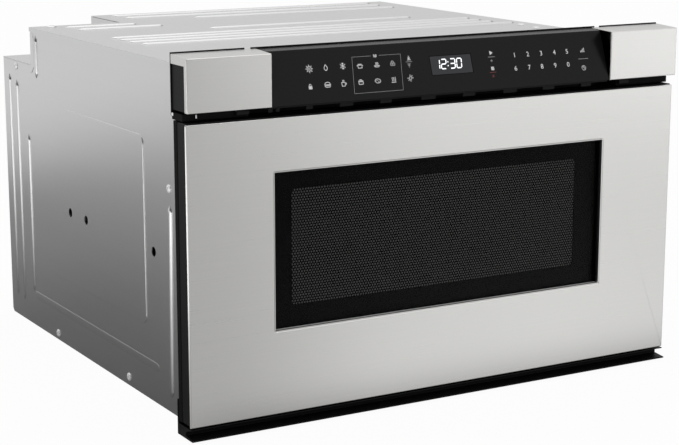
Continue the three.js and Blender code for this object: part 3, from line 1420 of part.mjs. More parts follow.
function latchHook(side) {
  const tip = glassFront + HOOK_LENGTH;
  const barb = tip - HOOK_BARB;
  const shoulder = tip - HOOK_POINT;
  const hook = outline([
    [glassFront, latchZ - HOOK_HALF], [shoulder, latchZ - HOOK_POINT], [tip, latchZ],
    [shoulder, latchZ + HOOK_POINT], [barb, latchZ + HOOK_POINT], [barb, latchZ + 1],
    [glassFront, latchZ + HOOK_POINT / 2],
  ]);
  const arm = alongX(hook, latchX - HOOK_WIDTH / 2, latchX + HOOK_WIDTH / 2);
  const halfWidth = HOOK_FOOT_WIDTH / 2;
  const halfHeight = HOOK_FOOT_HEIGHT / 2;
  const foot = block(
    latchX - halfWidth, latchX + halfWidth, glassFront, glassFront + HOOK_FOOT_SHEET,
    latchZ - halfHeight, latchZ + halfHeight,
  );
  return onSide(join(arm, foot), side);
}

function latchSwitch(side) {
  const half = SWITCH_WIDTH / 2;
  const rear = bodyFront + SWITCH_DEPTH;
  const halfSlot = SWITCH_SLOT_WIDTH / 2;
  const halfHeight = SWITCH_HEIGHT / 2;
  const halfMouth = SWITCH_MOUTH / 2;
  const shell = block(
    latchX - half, latchX + half, bodyFront, rear, latchZ - halfHeight, latchZ + halfHeight,
  );
  const slot = block(
    latchX - halfSlot, latchX + halfSlot, bodyFront - 1, rear - SWITCH_WALL,
    latchZ - halfMouth, latchZ + halfMouth,
  );
  const switches = [-SWITCH_SPREAD, SWITCH_SPREAD].map((rise) => block(
    latchX - half + 2, latchX + half - 2, rear - 1, rear + SWITCH_BODY,
    latchZ + rise - SWITCH_BODY_HEIGHT / 2, latchZ + rise + SWITCH_BODY_HEIGHT / 2,
  ));
  return onSide(join(cut(shell, slot), ...switches), side);
}

// ---- Microwave feed -------------------------------------------------------------------

function waveguide() {
  const half = GUIDE_WIDTH / 2;
  const wall = GUIDE_WALL;
  const front = stirrerY - GUIDE_FRONT;
  const rear = magnetronY + GUIDE_REAR;
  const box = cut(
    block(-half, half, front, rear, guideBottom, guideTop),
    block(-half + wall, half - wall, front + wall, rear - wall, guideBottom + wall, guideTop - wall),
  );
  return cut(
    box,
    rodZ(FEED_RADIUS, 0, stirrerY, guideBottom - 1, guideBottom + wall + 1, 20),
    rodZ(STIRRER_SHAFT + 1, 0, stirrerY, guideTop - wall - 1, guideTop + 1, 10),
    rodZ(ANTENNA_HOLE, 0, magnetronY, guideBottom - 1, guideBottom + wall + 1, 14),
  );
}

function stirrerCover() {
  const half = STIRRER_RADIUS + COVER_MARGIN;
  const bottom = cavityTop - COVER_DROP;
  const plan = roundedRect(-half, half, stirrerY - half, stirrerY + half, COVER_RADIUS);
  const sheet = alongZ(plan, bottom, bottom + COVER_SHEET, 3);
  const spread = half - COVER_POST_INSET;
  const posts = [-1, 1].flatMap((a) => [-1, 1].map((b) => (
    rodZ(COVER_POST, a * spread, stirrerY + b * spread, bottom + COVER_SHEET / 2, cavityTop - SEAT, 8))));
  return join(sheet, ...posts);
}

const stirrerMotorBottom = guideTop + SEAT;

// Bent blades round a hub, on a shaft that rises through the waveguide.
function stirrerRotor() {
  const z = cavityTop - STIRRER_DROP;
  const root = BLADE_ROOT / 2;
  const inner = STIRRER_HUB / 2;
  const bladeShape = outline([
    [inner, -root], [STIRRER_RADIUS, root / 2 - BLADE_TIP], [STIRRER_RADIUS, root / 2], [BLADE_KNEE, root],
    [inner, root],
  ]);
  const turn = (2 * Math.PI) / STIRRER_BLADES;
  const blades = Array.from({ length: STIRRER_BLADES }, (_, i) => (
    alongZ(bladeShape, 0, BLADE_SHEET).rotateX(BLADE_TWIST).rotateZ(turn * i).translate(0, stirrerY, z)));
  const hub = rodZ(STIRRER_HUB, 0, stirrerY, z - BLADE_SHEET, z + 4 * BLADE_SHEET, 16);
  const shaft = rodZ(STIRRER_SHAFT, 0, stirrerY, z, stirrerMotorBottom + STIRRER_MOTOR_DEPTH, 10);
  return join(hub, shaft, ...blades);
}

function stirrerMotor() {
  const bottom = stirrerMotorBottom;
  const can = rodZ(STIRRER_MOTOR, 0, stirrerY, bottom, bottom + STIRRER_MOTOR_HEIGHT, 20);
  const reach = STIRRER_MOTOR + STIRRER_MOTOR_EAR;
  const half = STIRRER_MOTOR / 4;
  const ears = block(-reach, reach, stirrerY - half, stirrerY + half, bottom, bottom + GUIDE_WALL);
  const bore = rodZ(STIRRER_SHAFT + RUN, 0, stirrerY, bottom - 1, bottom + STIRRER_MOTOR_DEPTH + 1, 10);
  return cut(join(can, ears), bore);
}

// Yoke, cooling fins round the anode, filter box below and antenna above.
function magnetron() {
  const halfX = MAGNETRON_WIDTH / 2;
  const halfY = MAGNETRON_DEPTH / 2;
  const top = guideBottom - SEAT;
  const finBottom = top - FIN_CLEARANCE - MAGNETRON_FINS * FIN_PITCH;
  const yokeBottom = finBottom - FIN_PITCH / 2;
  const onAxis = (width, depth, z0, z1) => block(
    -width / 2, width / 2, magnetronY - depth / 2, magnetronY + depth / 2, z0, z1,
  );
  const boxTop = yokeBottom + YOKE_SHEET / 2;
  const pieces = [
    block(-halfX, halfX, magnetronY - halfY, magnetronY + halfY, top - YOKE_SHEET, top),
    onAxis(MAGNETRON_WIDTH, YOKE_DEPTH, yokeBottom, yokeBottom + YOKE_SHEET),
    rodZ(ANODE_RADIUS, 0, magnetronY, boxTop, top - YOKE_SHEET / 2, 16),
    rodZ(ANTENNA_RADIUS, 0, magnetronY, top - YOKE_SHEET / 2, top + ANTENNA_RISE, 12),
    onAxis(CHOKE_BOX_WIDTH, CHOKE_BOX_DEPTH, yokeBottom - CHOKE_BOX_HEIGHT, boxTop),
  ];
  const yokeSide = block(
    halfX - YOKE_SHEET, halfX, magnetronY - YOKE_DEPTH / 2, magnetronY + YOKE_DEPTH / 2,
    yokeBottom, top - YOKE_SHEET / 2,
  );
  pieces.push(yokeSide, mirrored(yokeSide));
  for (let i = 0; i < MAGNETRON_FINS; i += 1) {
    const z = finBottom + FIN_PITCH / 2 + i * FIN_PITCH;
    pieces.push(onAxis(MAGNETRON_WIDTH - YOKE_SHEET, FIN_DEPTH, z, z + FIN_SHEET));
  }
  return join(...pieces);
}

function lampCover() {
  const shell = (inset, z0, z1) => block(
    lampX - LAMP_COVER_WIDTH / 2 + inset, lampX + LAMP_COVER_WIDTH / 2 - inset,
    lampY - LAMP_COVER_DEPTH / 2 + inset, lampY + LAMP_COVER_DEPTH / 2 - inset, z0, z1,
  );
  const top = roofZ + LAMP_COVER_HEIGHT;
  return cut(shell(0, roofZ + SEAT, top), shell(SHEET, roofZ - 1, top - SHEET));
}

// Bulb on its side, with its socket against the cover's wall.
function cavityLamp() {
  const z = roofZ + LAMP_RISE;
  const profile = [[0, -16], [8, -14], [11, -6], [10, 2], [7, 8], [7, 15], [0, 15]];
  const bulb = new THREE.LatheGeometry(profile.map(([r, y]) => new THREE.Vector2(r, y)), 12);
  const half = SOCKET_SIZE / 2;
  const socketEnd = LAMP_COVER_WIDTH / 2 - SHEET - SEAT;
  const socket = block(SOCKET_START, socketEnd, -half, half, -half, half);
  return join(bulb.rotateZ(-Math.PI / 2).translate(lampX, lampY, z), socket.translate(lampX, lampY, z));
}

// ---- Power supply ---------------------------------------------------------------------

function powerTransformer() {
  const [x, y] = [transformerX, transformerY];
  const bottom = floorTop + SEAT;
  const footTop = bottom + TRANSFORMER_FOOT_SHEET;
  const plan = (width, depth) => [x - width / 2, x + width / 2, y - depth / 2, y + depth / 2];
  const coilAt = (step, rise, height) => alongZ(
    roundedRect(...plan(COIL_WIDTH - 2 * step, COIL_DEPTH - 2 * step), COIL_RADIUS),
    bottom + rise, bottom + rise + height, 3,
  );
  const over = 2 * TRANSFORMER_FOOT;
  return join(
    block(...plan(TRANSFORMER_WIDTH, TRANSFORMER_DEPTH), footTop - 1, bottom + TRANSFORMER_HEIGHT),
    block(...plan(TRANSFORMER_WIDTH + over, TRANSFORMER_DEPTH + over), bottom, footTop),
    coilAt(0, COIL_RISE, COIL_HEIGHT),
    coilAt(COIL_STEP, SECOND_COIL_RISE, SECOND_COIL_HEIGHT),
  );
}

function capacitor() {
  const x = -coreHalf + CAPACITOR_INSET;
  const y = rearY - CAPACITOR_BACK;
  const bottom = floorTop + SEAT;
  const canTop = bottom + CAPACITOR_HEIGHT;
  const oval = (grow, z0, z1) => {
    const halfX = CAPACITOR_WIDTH / 2 + grow;
    const halfY = CAPACITOR_DEPTH / 2 + grow;
    return alongZ(roundedRect(x - halfX, x + halfX, y - halfY, y + halfY, halfY - 0.1), z0, z1, 5);
  };
  const strapBottom = bottom + STRAP_RISE;
  const tabs = [-TAB_SPREAD, TAB_SPREAD].map((out) => block(
    x + out - TAB_WIDTH / 2, x + out + TAB_WIDTH / 2, y - TAB_SHEET / 2, y + TAB_SHEET / 2,
    canTop - 1, canTop + TAB_HEIGHT,
  ));
  const halfFoot = STRAP_FOOT_DEPTH / 2;
  return join(
    oval(0, bottom, canTop),
    oval(STRAP_SHEET, strapBottom, strapBottom + STRAP_HEIGHT),
    block(x - STRAP_FOOT, x + STRAP_FOOT, y - halfFoot, y + halfFoot, bottom, bottom + SUPPLY_SHEET),
    ...tabs,
  );
}

function filterBoard() {
  const rear = rearY - SHEET - SEAT;
  const boardRear = rear - FILTER_STANDOFF;
  const front = boardRear - BOARD_SHEET;
  const root = front + BOARD_SHEET / 2;
  const x0 = -coreHalf + FILTER_INSET;
  const x1 = x0 + FILTER_WIDTH;
  const top = notchZ - FILTER_DROP;
  const bottom = top - FILTER_HEIGHT;
  const inset = FILTER_POST_INSET;
  const posts = [x0 + inset, x1 - inset].flatMap((x) => [bottom + inset, top - inset].map((z) => (
    rodY(FILTER_POST, x, root, rear, z, 8))));
  const coilX = x0 + FILTER_COIL + FUSE_CLIP;
  const coilZ = bottom + FILTER_COIL + 4 * FUSE_CLIP;
  const fuseEnd = x1 - 2 * FUSE_CLIP;
  const fuseY = front - FUSE_RADIUS;
  const fuseZ = top - 4 * FUSE_CLIP;
  const clipX = fuseEnd - FUSE_LENGTH / 2;
  const boxBottom = bottom + 3 * FUSE_CLIP;
  return join(
    block(x0, x1, front, boardRear, bottom, top),
    ...posts,
    rodY(FILTER_COIL, coilX, front - FILTER_COIL_DEPTH, root, coilZ, 14),
    rodX(FUSE_RADIUS, fuseEnd - FUSE_LENGTH, fuseEnd, fuseY, fuseZ, 8),
    block(clipX, clipX + FUSE_CLIP, fuseY, root, fuseZ - FUSE_RADIUS, fuseZ + FUSE_RADIUS),
    block(
      fuseEnd - FILTER_BOX_WIDTH, fuseEnd, front - FILTER_BOX_DEPTH, root,
      boxBottom, boxBottom + FILTER_BOX_HEIGHT,
    ),
  );
}

// Flanged bush with its bore along Y, in the wall of the rear corner recess.
function cordGland() {
  const middle = notchY - SHEET / 2;
  const groove = SHEET / 2 + SEAT;
  const points = [
    [GLAND_BORE, -GLAND_FRONT], [GLAND_FLANGE, -GLAND_FRONT], [GLAND_FLANGE, -groove],
    [GLAND_RADIUS, -groove], [GLAND_RADIUS, groove], [GLAND_FLANGE, groove],
    [GLAND_FLANGE, GLAND_REAR - GLAND_RADIUS],
    [GLAND_RADIUS + 1, GLAND_REAR], [GLAND_BORE, GLAND_REAR], [GLAND_BORE, -GLAND_FRONT],
  ].map(([r, y]) => new THREE.Vector2(r, y));
  return new THREE.LatheGeometry(points, 16).translate(glandX, middle, glandZ);
}

// ---- Blower and duct ------------------------------------------------------------------

// Outline of the scroll in (Y, Z): a spiral that opens into an outlet at the top.
function scroll(clearance) {
  const points = [];
  for (let i = 0; i <= SCROLL_STEPS; i += 1) {
    const share = i / SCROLL_STEPS;
    const angle = Math.PI * (0.82 + 1.18 * share);
    const radius = WHEEL_RADIUS + SCROLL_GAP + SCROLL_GROWTH * share - clearance;
    points.push([blowerY + radius * Math.cos(angle), blowerZ + radius * Math.sin(angle)]);
  }
  const outlet = blowerTop + (clearance > 0 ? 1 : 0);
  points.push([points.at(-1)[0], outlet]);
  points.push([blowerY - OUTLET_FRONT + clearance, outlet]);
  points.push([blowerY - OUTLET_NECK + clearance, blowerZ + WHEEL_RADIUS + TONGUE_RISE - clearance]);
  return outline(points);
}

function blowerHousing() {
  const x0 = blowerX;
  const x1 = x0 + BLOWER_WIDTH;
  const wall = BLOWER_WALL;
  return cut(
    alongX(scroll(0), x0, x1),
    alongX(scroll(wall), x0 + wall, x1 - wall),
    rodX(WHEEL_RADIUS - WHEEL_BAND, x0 - 1, x0 + wall + 1, blowerY, blowerZ, 20),
    rodX(BLOWER_HOLE, x1 - wall - 1, x1 + 1, blowerY, blowerZ, 12),
  );
}

// Forward-curved blades between a back plate and an end ring.
function blowerWheel() {
  const x0 = blowerX + (BLOWER_WIDTH - WHEEL_WIDTH) / 2;
  const x1 = x0 + WHEEL_WIDTH;
  const inner = WHEEL_RADIUS - WHEEL_BAND;
  const bladeSteps = 3;
  const hubEnd = x1 - WHEEL_HUB_LENGTH;
  const pieces = [
    rodX(WHEEL_RADIUS, x1 - WHEEL_PLATE, x1, 0, 0, 28),
    rodX(WHEEL_HUB, hubEnd, x1, 0, 0, 10),
    rodX(FAN_SHAFT, hubEnd + WHEEL_PLATE, x1 + FAN_SHAFT_REACH, 0, 0, 8),
  ];
  const ring = new THREE.Shape().absarc(0, 0, WHEEL_RADIUS, 0, 2 * Math.PI);
  ring.holes.push(new THREE.Path().absarc(0, 0, inner, 0, 2 * Math.PI));
  pieces.push(alongX(ring, x0, x0 + WHEEL_PLATE, 14));
  for (let i = 0; i < WHEEL_BLADES; i += 1) {
    const start = (2 * Math.PI * i) / WHEEL_BLADES;
    const line = Array.from({ length: bladeSteps + 1 }, (_, k) => {
      const share = k / bladeSteps;
      const radius = inner + WHEEL_BLADE / 2 + (WHEEL_RADIUS - WHEEL_BLADE - inner) * share;
      const angle = start + WHEEL_CURVE * share * share;
      return [radius * Math.cos(angle), radius * Math.sin(angle)];
    });
    pieces.push(alongX(strip(line, WHEEL_BLADE), x0 + WHEEL_PLATE / 2, x1 - WHEEL_PLATE / 2));
  }
  return join(...pieces).translate(0, blowerY, blowerZ);
}

function fanMotor() {
  const x0 = blowerX + BLOWER_WIDTH + SEAT;
  const square = (size) => [blowerY - size / 2, blowerY + size / 2, blowerZ - size / 2, blowerZ + size / 2];
  const plate = alongX(roundedRect(...square(FAN_PLATE), FAN_PLATE / 10), x0, x0 + BLOWER_WALL);
  const can = rodX(FAN_RADIUS, x0 + BLOWER_WALL / 2, x0 + FAN_LENGTH, blowerY, blowerZ, 20);
  const coreStart = x0 + FAN_CORE_START;
  const core = block(coreStart, coreStart + FAN_CORE_LENGTH, ...square(FAN_CORE));
  const bore = rodX(FAN_SHAFT + RUN, x0 - 1, x0 + FAN_SHAFT_REACH + 2, blowerY, blowerZ, 10);
  return cut(join(plate, can, core), bore);
}

// A duct from the blower's outlet over the cavity to the vents at the front.
function airDuct() {
  const x0 = blowerX;
  const x1 = x0 + BLOWER_WIDTH;
  const bottom = blowerTop + SEAT;
  const top = topUnder - DUCT_TOP_GAP;
  const front = bodyFront + SHEET + DUCT_FRONT_GAP;
  const rear = rearY - DUCT_REAR_GAP;
  const wall = DUCT_WALL;
  const slope = DUCT_SLOPE;
  const section = (inset) => outline([
    [front - inset, bottom + inset], [rear - inset, bottom + inset], [rear - inset, top - slope],
    [rear - slope - inset, top - inset], [front - inset, top - inset],
  ]);
  return cut(
    alongX(section(0), x0, x1),
    alongX(section(wall), x0 + wall, x1 - wall),
    block(
      x0 + wall, x1 - wall, blowerY - DUCT_INLET_FRONT, blowerY + DUCT_INLET_REAR,
      bottom - 1, bottom + wall + 1,
    ),
  );
}

// ---------------------------------------------------------------------------------------
// Put together
// ---------------------------------------------------------------------------------------

add('base_pan', basePan(), GALVANISED);
for (const [name, side] of SIDES) add(`${name}_side_panel`, sidePanel(side), GALVANISED);
add('top_panel', topPanel(), GALVANISED);
add('rear_panel', rearPanel(), GALVANISED);
add('rear_corner_cover', rearCornerCover(), GALVANISED);
add('cord_gland', cordGland(), BLACK_PLASTIC);
add('front_frame', frontFrame(), BLACK_STEEL);
add('bottom_channel', bottomChannel(), BLACK_STEEL);

add('control_housing', controlHousing(), BLACK_PLASTIC);
add('control_fascia', controlFascia(), PANEL_BLACK);
add('display_lens', displayLens(), GLASS);
add('display_module', displayModule(), BLACK_PLASTIC);
add('touch_keypad', touchKeypad(), BLACK_PLASTIC);
add('control_board', controlBoard(), BOARD);
for (const [name, side] of SIDES) add(`${name}_corner_trim`, cornerTrim(side), BRUSHED);

add('oven_cavity', ovenCavity(), CAVITY_PAINT);
add('waveguide', waveguide(), ZINC);
add('stirrer_cover', stirrerCover(), MICA);
add('stirrer_rotor', stirrerRotor(), ZINC);
add('stirrer_motor', stirrerMotor(), ZINC);
add('magnetron', magnetron(), ZINC);
add('lamp_cover', lampCover(), GALVANISED);
add('cavity_lamp', cavityLamp(), CERAMIC);
add('power_transformer', powerTransformer(), COPPER);
add('capacitor', capacitor(), ZINC);
add('filter_board', filterBoard(), BOARD);
add('blower_housing', blowerHousing(), BLACK_PLASTIC);
add('blower_wheel', blowerWheel(), NYLON);
add('blower_motor', fanMotor(), ZINC);
add('air_duct', airDuct(), GALVANISED);

for (const [name, side] of SIDES) {
  add(`${name}_rail_support`, onSide(railSupport(), side), GALVANISED);
  add(`${name}_slide_outer`, onSide(slideOuter(), side), ZINC);
  add(`${name}_slide_middle`, onSide(slideMiddle(), side), ZINC);
  add(`${name}_slide_inner`, onSide(slideInner(), side), ZINC);
  add(`${name}_drawer_bracket`, drawerBracket(side), GALVANISED);
  add(`${name}_latch_hook`, latchHook(side), NYLON);
  add(`${name}_latch_switch`, latchSwitch(side), BLACK_PLASTIC);
}
add('gear_rack', gearRack(), NYLON);
add('drive_pinion', drivePinion(), NYLON);
add('drive_motor', driveMotor(), ZINC);
add('drive_motor_bracket', driveMotorBracket(), GALVANISED);

add('door_skin', doorSkin(), BRUSHED);
add('door_frame', doorFrame(), BLACK_PLASTIC);
add('door_glass', doorGlass(), GLASS);
add('glass_gasket', glassGasket(), RUBBER);
add('choke_screen', chokeScreen(), BLACK_STEEL);
add('choke_cover', chokeCover(), BLACK_PLASTIC);
add('drawer_tub', drawerTub(), CAVITY_PAINT);
add('tub_tray', tubTray(), CERAMIC);

assembly.position.set(0, -(frontY + rearY) / 2, -baseZ);

const microwaveDrawer = new THREE.Group();
microwaveDrawer.add(assembly);

export default microwaveDrawer;
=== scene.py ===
"""Picture model of an under-counter microwave drawer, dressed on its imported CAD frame.

Places are given in millimetres on the drawer's front: X from the middle, Y from the steel
front's face towards the rear, Z from the steel front's bottom edge. Frame.at turns them into
metres in the frame of the CAD model.
"""

import json
import logging
import math
from dataclasses import dataclass, field
from enum import Enum
from typing import Iterable, Sequence

import bmesh
import bpy
from mathutils import Matrix, Quaternion, Vector


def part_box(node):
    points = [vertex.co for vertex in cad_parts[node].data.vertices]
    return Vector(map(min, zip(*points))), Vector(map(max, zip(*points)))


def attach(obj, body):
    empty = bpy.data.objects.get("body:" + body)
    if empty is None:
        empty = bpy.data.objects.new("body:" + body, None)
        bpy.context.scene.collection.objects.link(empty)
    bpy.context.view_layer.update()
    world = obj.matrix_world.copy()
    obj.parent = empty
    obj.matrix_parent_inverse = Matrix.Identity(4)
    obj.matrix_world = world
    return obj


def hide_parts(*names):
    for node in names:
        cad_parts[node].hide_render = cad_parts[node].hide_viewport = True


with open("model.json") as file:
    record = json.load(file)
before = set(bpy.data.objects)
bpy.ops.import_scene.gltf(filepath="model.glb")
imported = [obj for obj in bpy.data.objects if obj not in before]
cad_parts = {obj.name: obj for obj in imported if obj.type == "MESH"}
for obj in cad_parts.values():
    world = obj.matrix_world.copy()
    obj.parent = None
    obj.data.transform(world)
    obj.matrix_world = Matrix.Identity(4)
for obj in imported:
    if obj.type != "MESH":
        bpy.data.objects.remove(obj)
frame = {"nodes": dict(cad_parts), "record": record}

logging.basicConfig(level=logging.INFO, format="%(message)s")
LOG = logging.getLogger("drawer")

MM = 0.001
IMAGE_WIDTH = 679
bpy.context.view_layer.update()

SMOOTH_ANGLE = 35.0  # Degrees under which faces shade smoothly.
HARD_EDGE_ANGLE = 30.0  # Degrees over which edges get rounded.
FLAT_ANGLE = 1.0  # Degrees under which CAD triangles count as one flat face.
FINE_WELD = 1e-7  # Distances in metres within which vertices are joined.
WELD = 1e-6
CAD_WELD = 2e-6
EDGE_SHARE = 0.45  # Most of an edge that a rounding or a dying end may take.
DRILL_MARGIN = 3.0  # How far a drill reaches past the sheet, in millimetres.
NOTCH_Y = 496.6  # Front of the recess at the rear left corner of the body.

Point2 = tuple[float, float]
Points = tuple[Point2, ...]
Triple = tuple[float, float, float]
Line = tuple[float, float, float, float]
Work = bmesh.types.BMesh
Mesh = bpy.types.Mesh
Socket = bpy.types.NodeSocket
Source = Socket | float


class Body(str, Enum):
    """CAD bodies that pieces ride on."""

    CABINET = "cabinet"
    DRAWER = "drawer"


class Slot(str, Enum):
    """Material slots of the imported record."""

    GALVANISED = "galvanised_steel"
    BRUSHED = "brushed_steel"
    BLACK_STEEL = "black_steel"
    BLACK_PLASTIC = "black_plastic"
    PANEL = "panel_black"
    GLASS = "glass"
    PAINT = "cavity_paint"
    CERAMIC = "ceramic"
    RUBBER = "rubber"
    ZINC = "zinc_steel"
    NYLON = "nylon"
    MICA = "mica"
    WINDING = "winding"
    BOARD = "board"

    @property
    def finish(self) -> str:
        """Finish that a CAD node with this slot gets.

        Returns:
            The finish's name.
        """
        return {
            Slot.GALVANISED: "galvanised",
            Slot.GLASS: "tinted_glass",
            Slot.ZINC: "zinc",
            Slot.WINDING: "copper",
        }.get(self, self.value)


class Frame:
    """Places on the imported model."""

    _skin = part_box("door_skin")
    shift = Vector((0.0, _skin[0].y, _skin[0].z))

    @classmethod
    def at(cls, x: float, y: float, z: float) -> Vector:
        """Gives a place in metres.

        Args:
            x: Millimetres to the right of the middle.
            y: Millimetres behind the steel front's face.
            z: Millimetres above the steel front's bottom edge.

        Returns:
            The place in the frame of the CAD model.
        """
        return Vector((x, y, z)) * MM + cls.shift

    @classmethod
    def corners(cls, node: str) -> tuple[Triple, Triple]:
        """Gives the low and the high corner of a CAD node, in millimetres on the front.

        Args:
            node: Name of the node.

        Returns:
            Its two corners.
        """
        low, high = (
            tuple((value - start) / MM for value, start in zip(corner, cls.shift))
            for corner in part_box(node)
        )
        return low, high


# ---- Finishes ----


@dataclass(frozen=True)
class Finish:
    """How a surface looks.

    Attributes:
        name: Name of the material.
        colour: Linear base colour.
        roughness: Middle roughness.
        metallic: 0 or 1, or between for a dull coat on metal.
        grain: Repeats per metre of the grain along X, Y and Z.
        grain_depth: How strongly the grain changes the colour, 0 to 1.
        roughness_depth: How strongly the grain changes the roughness.
        bump: Height of the grain in millimetres.
        anisotropy: Stretch of the highlight.
        specular: Specular level of the shader.
        coat: Weight of a clear coat.
        alpha: Opacity; the rest of the light passes straight through.
        emission: Strength of the surface's own light.
    """

    name: str
    colour: Triple
    roughness: float
    metallic: float
    grain: Triple
    grain_depth: float
    roughness_depth: float
    bump: float
    anisotropy: float = 0.0
    specular: float = 0.5
    coat: float = 0.0
    alpha: float = 1.0
    emission: float = 0.0


FINISHES: dict[str, Finish] = {
    finish.name: finish
    for finish in (
        Finish("brushed_steel", (0.70, 0.695, 0.68), 0.30, 1.0, (6, 500, 1500), 0.02, 0.03, 0.0,
               anisotropy=0.2),
        Finish("galvanised", (0.69, 0.69, 0.69), 0.28, 0.92, (3, 3, 60), 0.012, 0.0, 0.0),
        Finish("zinc", (0.58, 0.59, 0.60), 0.38, 1.0, (300, 300, 300), 0.05, 0.08, 0.003),
        # A lighter, less metallic copy of zinc: zinc with a painted glint, for screw heads and
        # tabs.
        Finish("zinc_painted_glint", (0.88, 0.88, 0.88), 0.36, 0.3, (300, 300, 300), 0.03, 0.05, 0.0),
        # Near-white, mostly matte steel: a painted highlight along the window's sill.
        Finish("sill_painted_highlight", (0.86, 0.86, 0.85), 0.45, 0.15, (300, 300, 300), 0.02, 0.02, 0.0),
        Finish("black_steel", (0.005, 0.005, 0.005), 0.42, 0.0, (1400, 1400, 1400), 0.10, 0.08,
               0.006, specular=0.10),
        Finish("black_plastic", (0.009, 0.009, 0.010), 0.50, 0.0, (1800, 1800, 1800), 0.12, 0.10,
               0.010, specular=0.12),
        Finish("panel_black", (0.006, 0.006, 0.0065), 0.26, 0.0, (2400, 2400, 2400), 0.06, 0.05,
               0.002, specular=0.12),
        Finish("lip_grey", (0.008, 0.008, 0.009), 0.45, 0.0, (1800, 1800, 1800), 0.08, 0.05,
               0.004, specular=0.12),
        Finish("display_black", (0.030, 0.031, 0.034), 0.15, 0.0, (900, 900, 900), 0.04, 0.03,
               0.0, specular=0.18),
        Finish("tinted_glass", (0.002, 0.002, 0.002), 0.24, 0.0, (60, 60, 60), 0.02, 0.01, 0.0,
               specular=0.14, alpha=0.5),
        Finish("screen_black", (0.003, 0.003, 0.003), 0.45, 0.0, (1500, 1500, 1500), 0.10, 0.05,
               0.002, specular=0.06),
        Finish("screen_film", (0.80, 0.80, 0.80), 0.60, 0.0, (300, 300, 300), 0.06, 0.05, 0.0),
        Finish("cavity_paint", (0.33, 0.33, 0.33), 0.45, 0.1, (1200, 1200, 1200), 0.08, 0.08,
               0.01),
        Finish("ceramic", (0.72, 0.71, 0.68), 0.22, 0.0, (500, 500, 500), 0.04, 0.05, 0.003,
               coat=0.3),
        Finish("rubber", (0.006, 0.006, 0.006), 0.75, 0.0, (1500, 1500, 1500), 0.10, 0.08, 0.010,
               specular=0.10),
        Finish("nylon", (0.78, 0.76, 0.70), 0.45, 0.0, (900, 900, 900), 0.05, 0.08, 0.005),
        Finish("mica", (0.52, 0.47, 0.37), 0.50, 0.0, (200, 200, 200), 0.10, 0.10, 0.005),
        Finish("copper", (0.45, 0.20, 0.08), 0.38, 0.9, (200, 200, 2600), 0.20, 0.10, 0.050),
        Finish("board", (0.02, 0.10, 0.05), 0.50, 0.0, (800, 800, 800), 0.15, 0.10, 0.005),
        Finish("print_white", (0.74, 0.74, 0.74), 0.50, 0.0, (900, 900, 900), 0.03, 0.03, 0.0),
        Finish("print_grey", (0.36, 0.36, 0.37), 0.50, 0.0, (900, 900, 900), 0.03, 0.03, 0.0),
        Finish("print_red", (0.24, 0.04, 0.035), 0.50, 0.0, (900, 900, 900), 0.03, 0.03, 0.0),
        Finish("digits", (0.80, 0.82, 0.85), 0.40, 0.0, (900, 900, 900), 0.02, 0.02, 0.0,
               emission=0.9),
    )
}


@dataclass
class Tree:
    """Short ways to add and join shader nodes."""

    tree: bpy.types.ShaderNodeTree

    def add(self, kind: str) -> bpy.types.Node:
        """Adds a node of a kind."""
        return self.tree.nodes.new(kind)

    def feed(self, socket: Socket, source: Source | Vector | Triple) -> None:
        """Joins a source to a socket, or sets the socket's value.

        Args:
            socket: Input to feed.
            source: Output to join it to, or its value.
        """
        if isinstance(source, Socket):
            self.tree.links.new(source, socket)
        else:
            socket.default_value = source

    def set(self, node: bpy.types.Node, values: dict[str, Source | Triple]) -> None:
        """Sets or joins inputs of a node by their names.

        Args:
            node: Node to feed.
            values: Source or value of each named input.
        """
        for name, value in values.items():
            self.feed(node.inputs[name], value)

    def maths(self, operation: str, a: Source, b: Source) -> Socket:
        """Works one value out of two.

        Args:
            operation: What is done with them.
            a: First value.
            b: Second value.

        Returns:
            The result.
        """
        node = self.add("ShaderNodeMath")
        node.operation = operation
        self.feed(node.inputs[0], a)
        self.feed(node.inputs[1], b)
        return node.outputs["Value"]

    def spread(
        self, source: Source, low: float, high: float, to_low: float, to_high: float,
        smooth: bool = False,
    ) -> Socket:
        """Maps one range of values to another, kept within it.

        Args:
            source: Value to map.
            low: Start of the source's range.
            high: End of the source's range.
            to_low: Result at the start.
            to_high: Result at the end.
            smooth: Eases in and out instead of running straight.

        Returns:
            The mapped value.
        """
        node = self.add("ShaderNodeMapRange")
        if smooth:
            node.interpolation_type = "SMOOTHSTEP"
        self.set(node, {
            "Value": source, "From Min": low, "From Max": high, "To Min": to_low, "To Max": to_high,
        })
        return node.outputs["Result"]

    def ramp(self, source: Source, stops: Points) -> Socket:
        """Maps a value to greys given at places along it.

        Args:
            source: Value to map.
            stops: Places along the value, each with its grey.

        Returns:
            The grey.
        """
        first, last = stops[0][0], stops[-1][0]
        share = self.spread(source, first, last, 0.0, 1.0)
        node = self.add("ShaderNodeValToRGB")
        marks = node.color_ramp.elements
        for mark, (_, grey) in zip((marks[0], marks[1]), (stops[0], stops[-1])):
            mark.color = (grey, grey, grey, 1)
        for spot, grey in stops[1:-1]:
            marks.new((spot - first) / (last - first)).color = (grey, grey, grey, 1)
        self.feed(node.inputs["Fac"], share)
        return node.outputs["Color"]

    def slope(self, along: Source, rate: float, across: Source) -> Socket:
        """Adds a share of one value to another."""
        return self.maths("ADD", along, self.maths("MULTIPLY", across, rate))

    def seen(self, path: bpy.types.Node) -> Socket:
        """Gives 1 for what the camera sees, also through glass, and else 0."""
        rays = path.outputs
        return self.maths("MAXIMUM", rays["Is Camera Ray"], rays["Is Transmission Ray"])


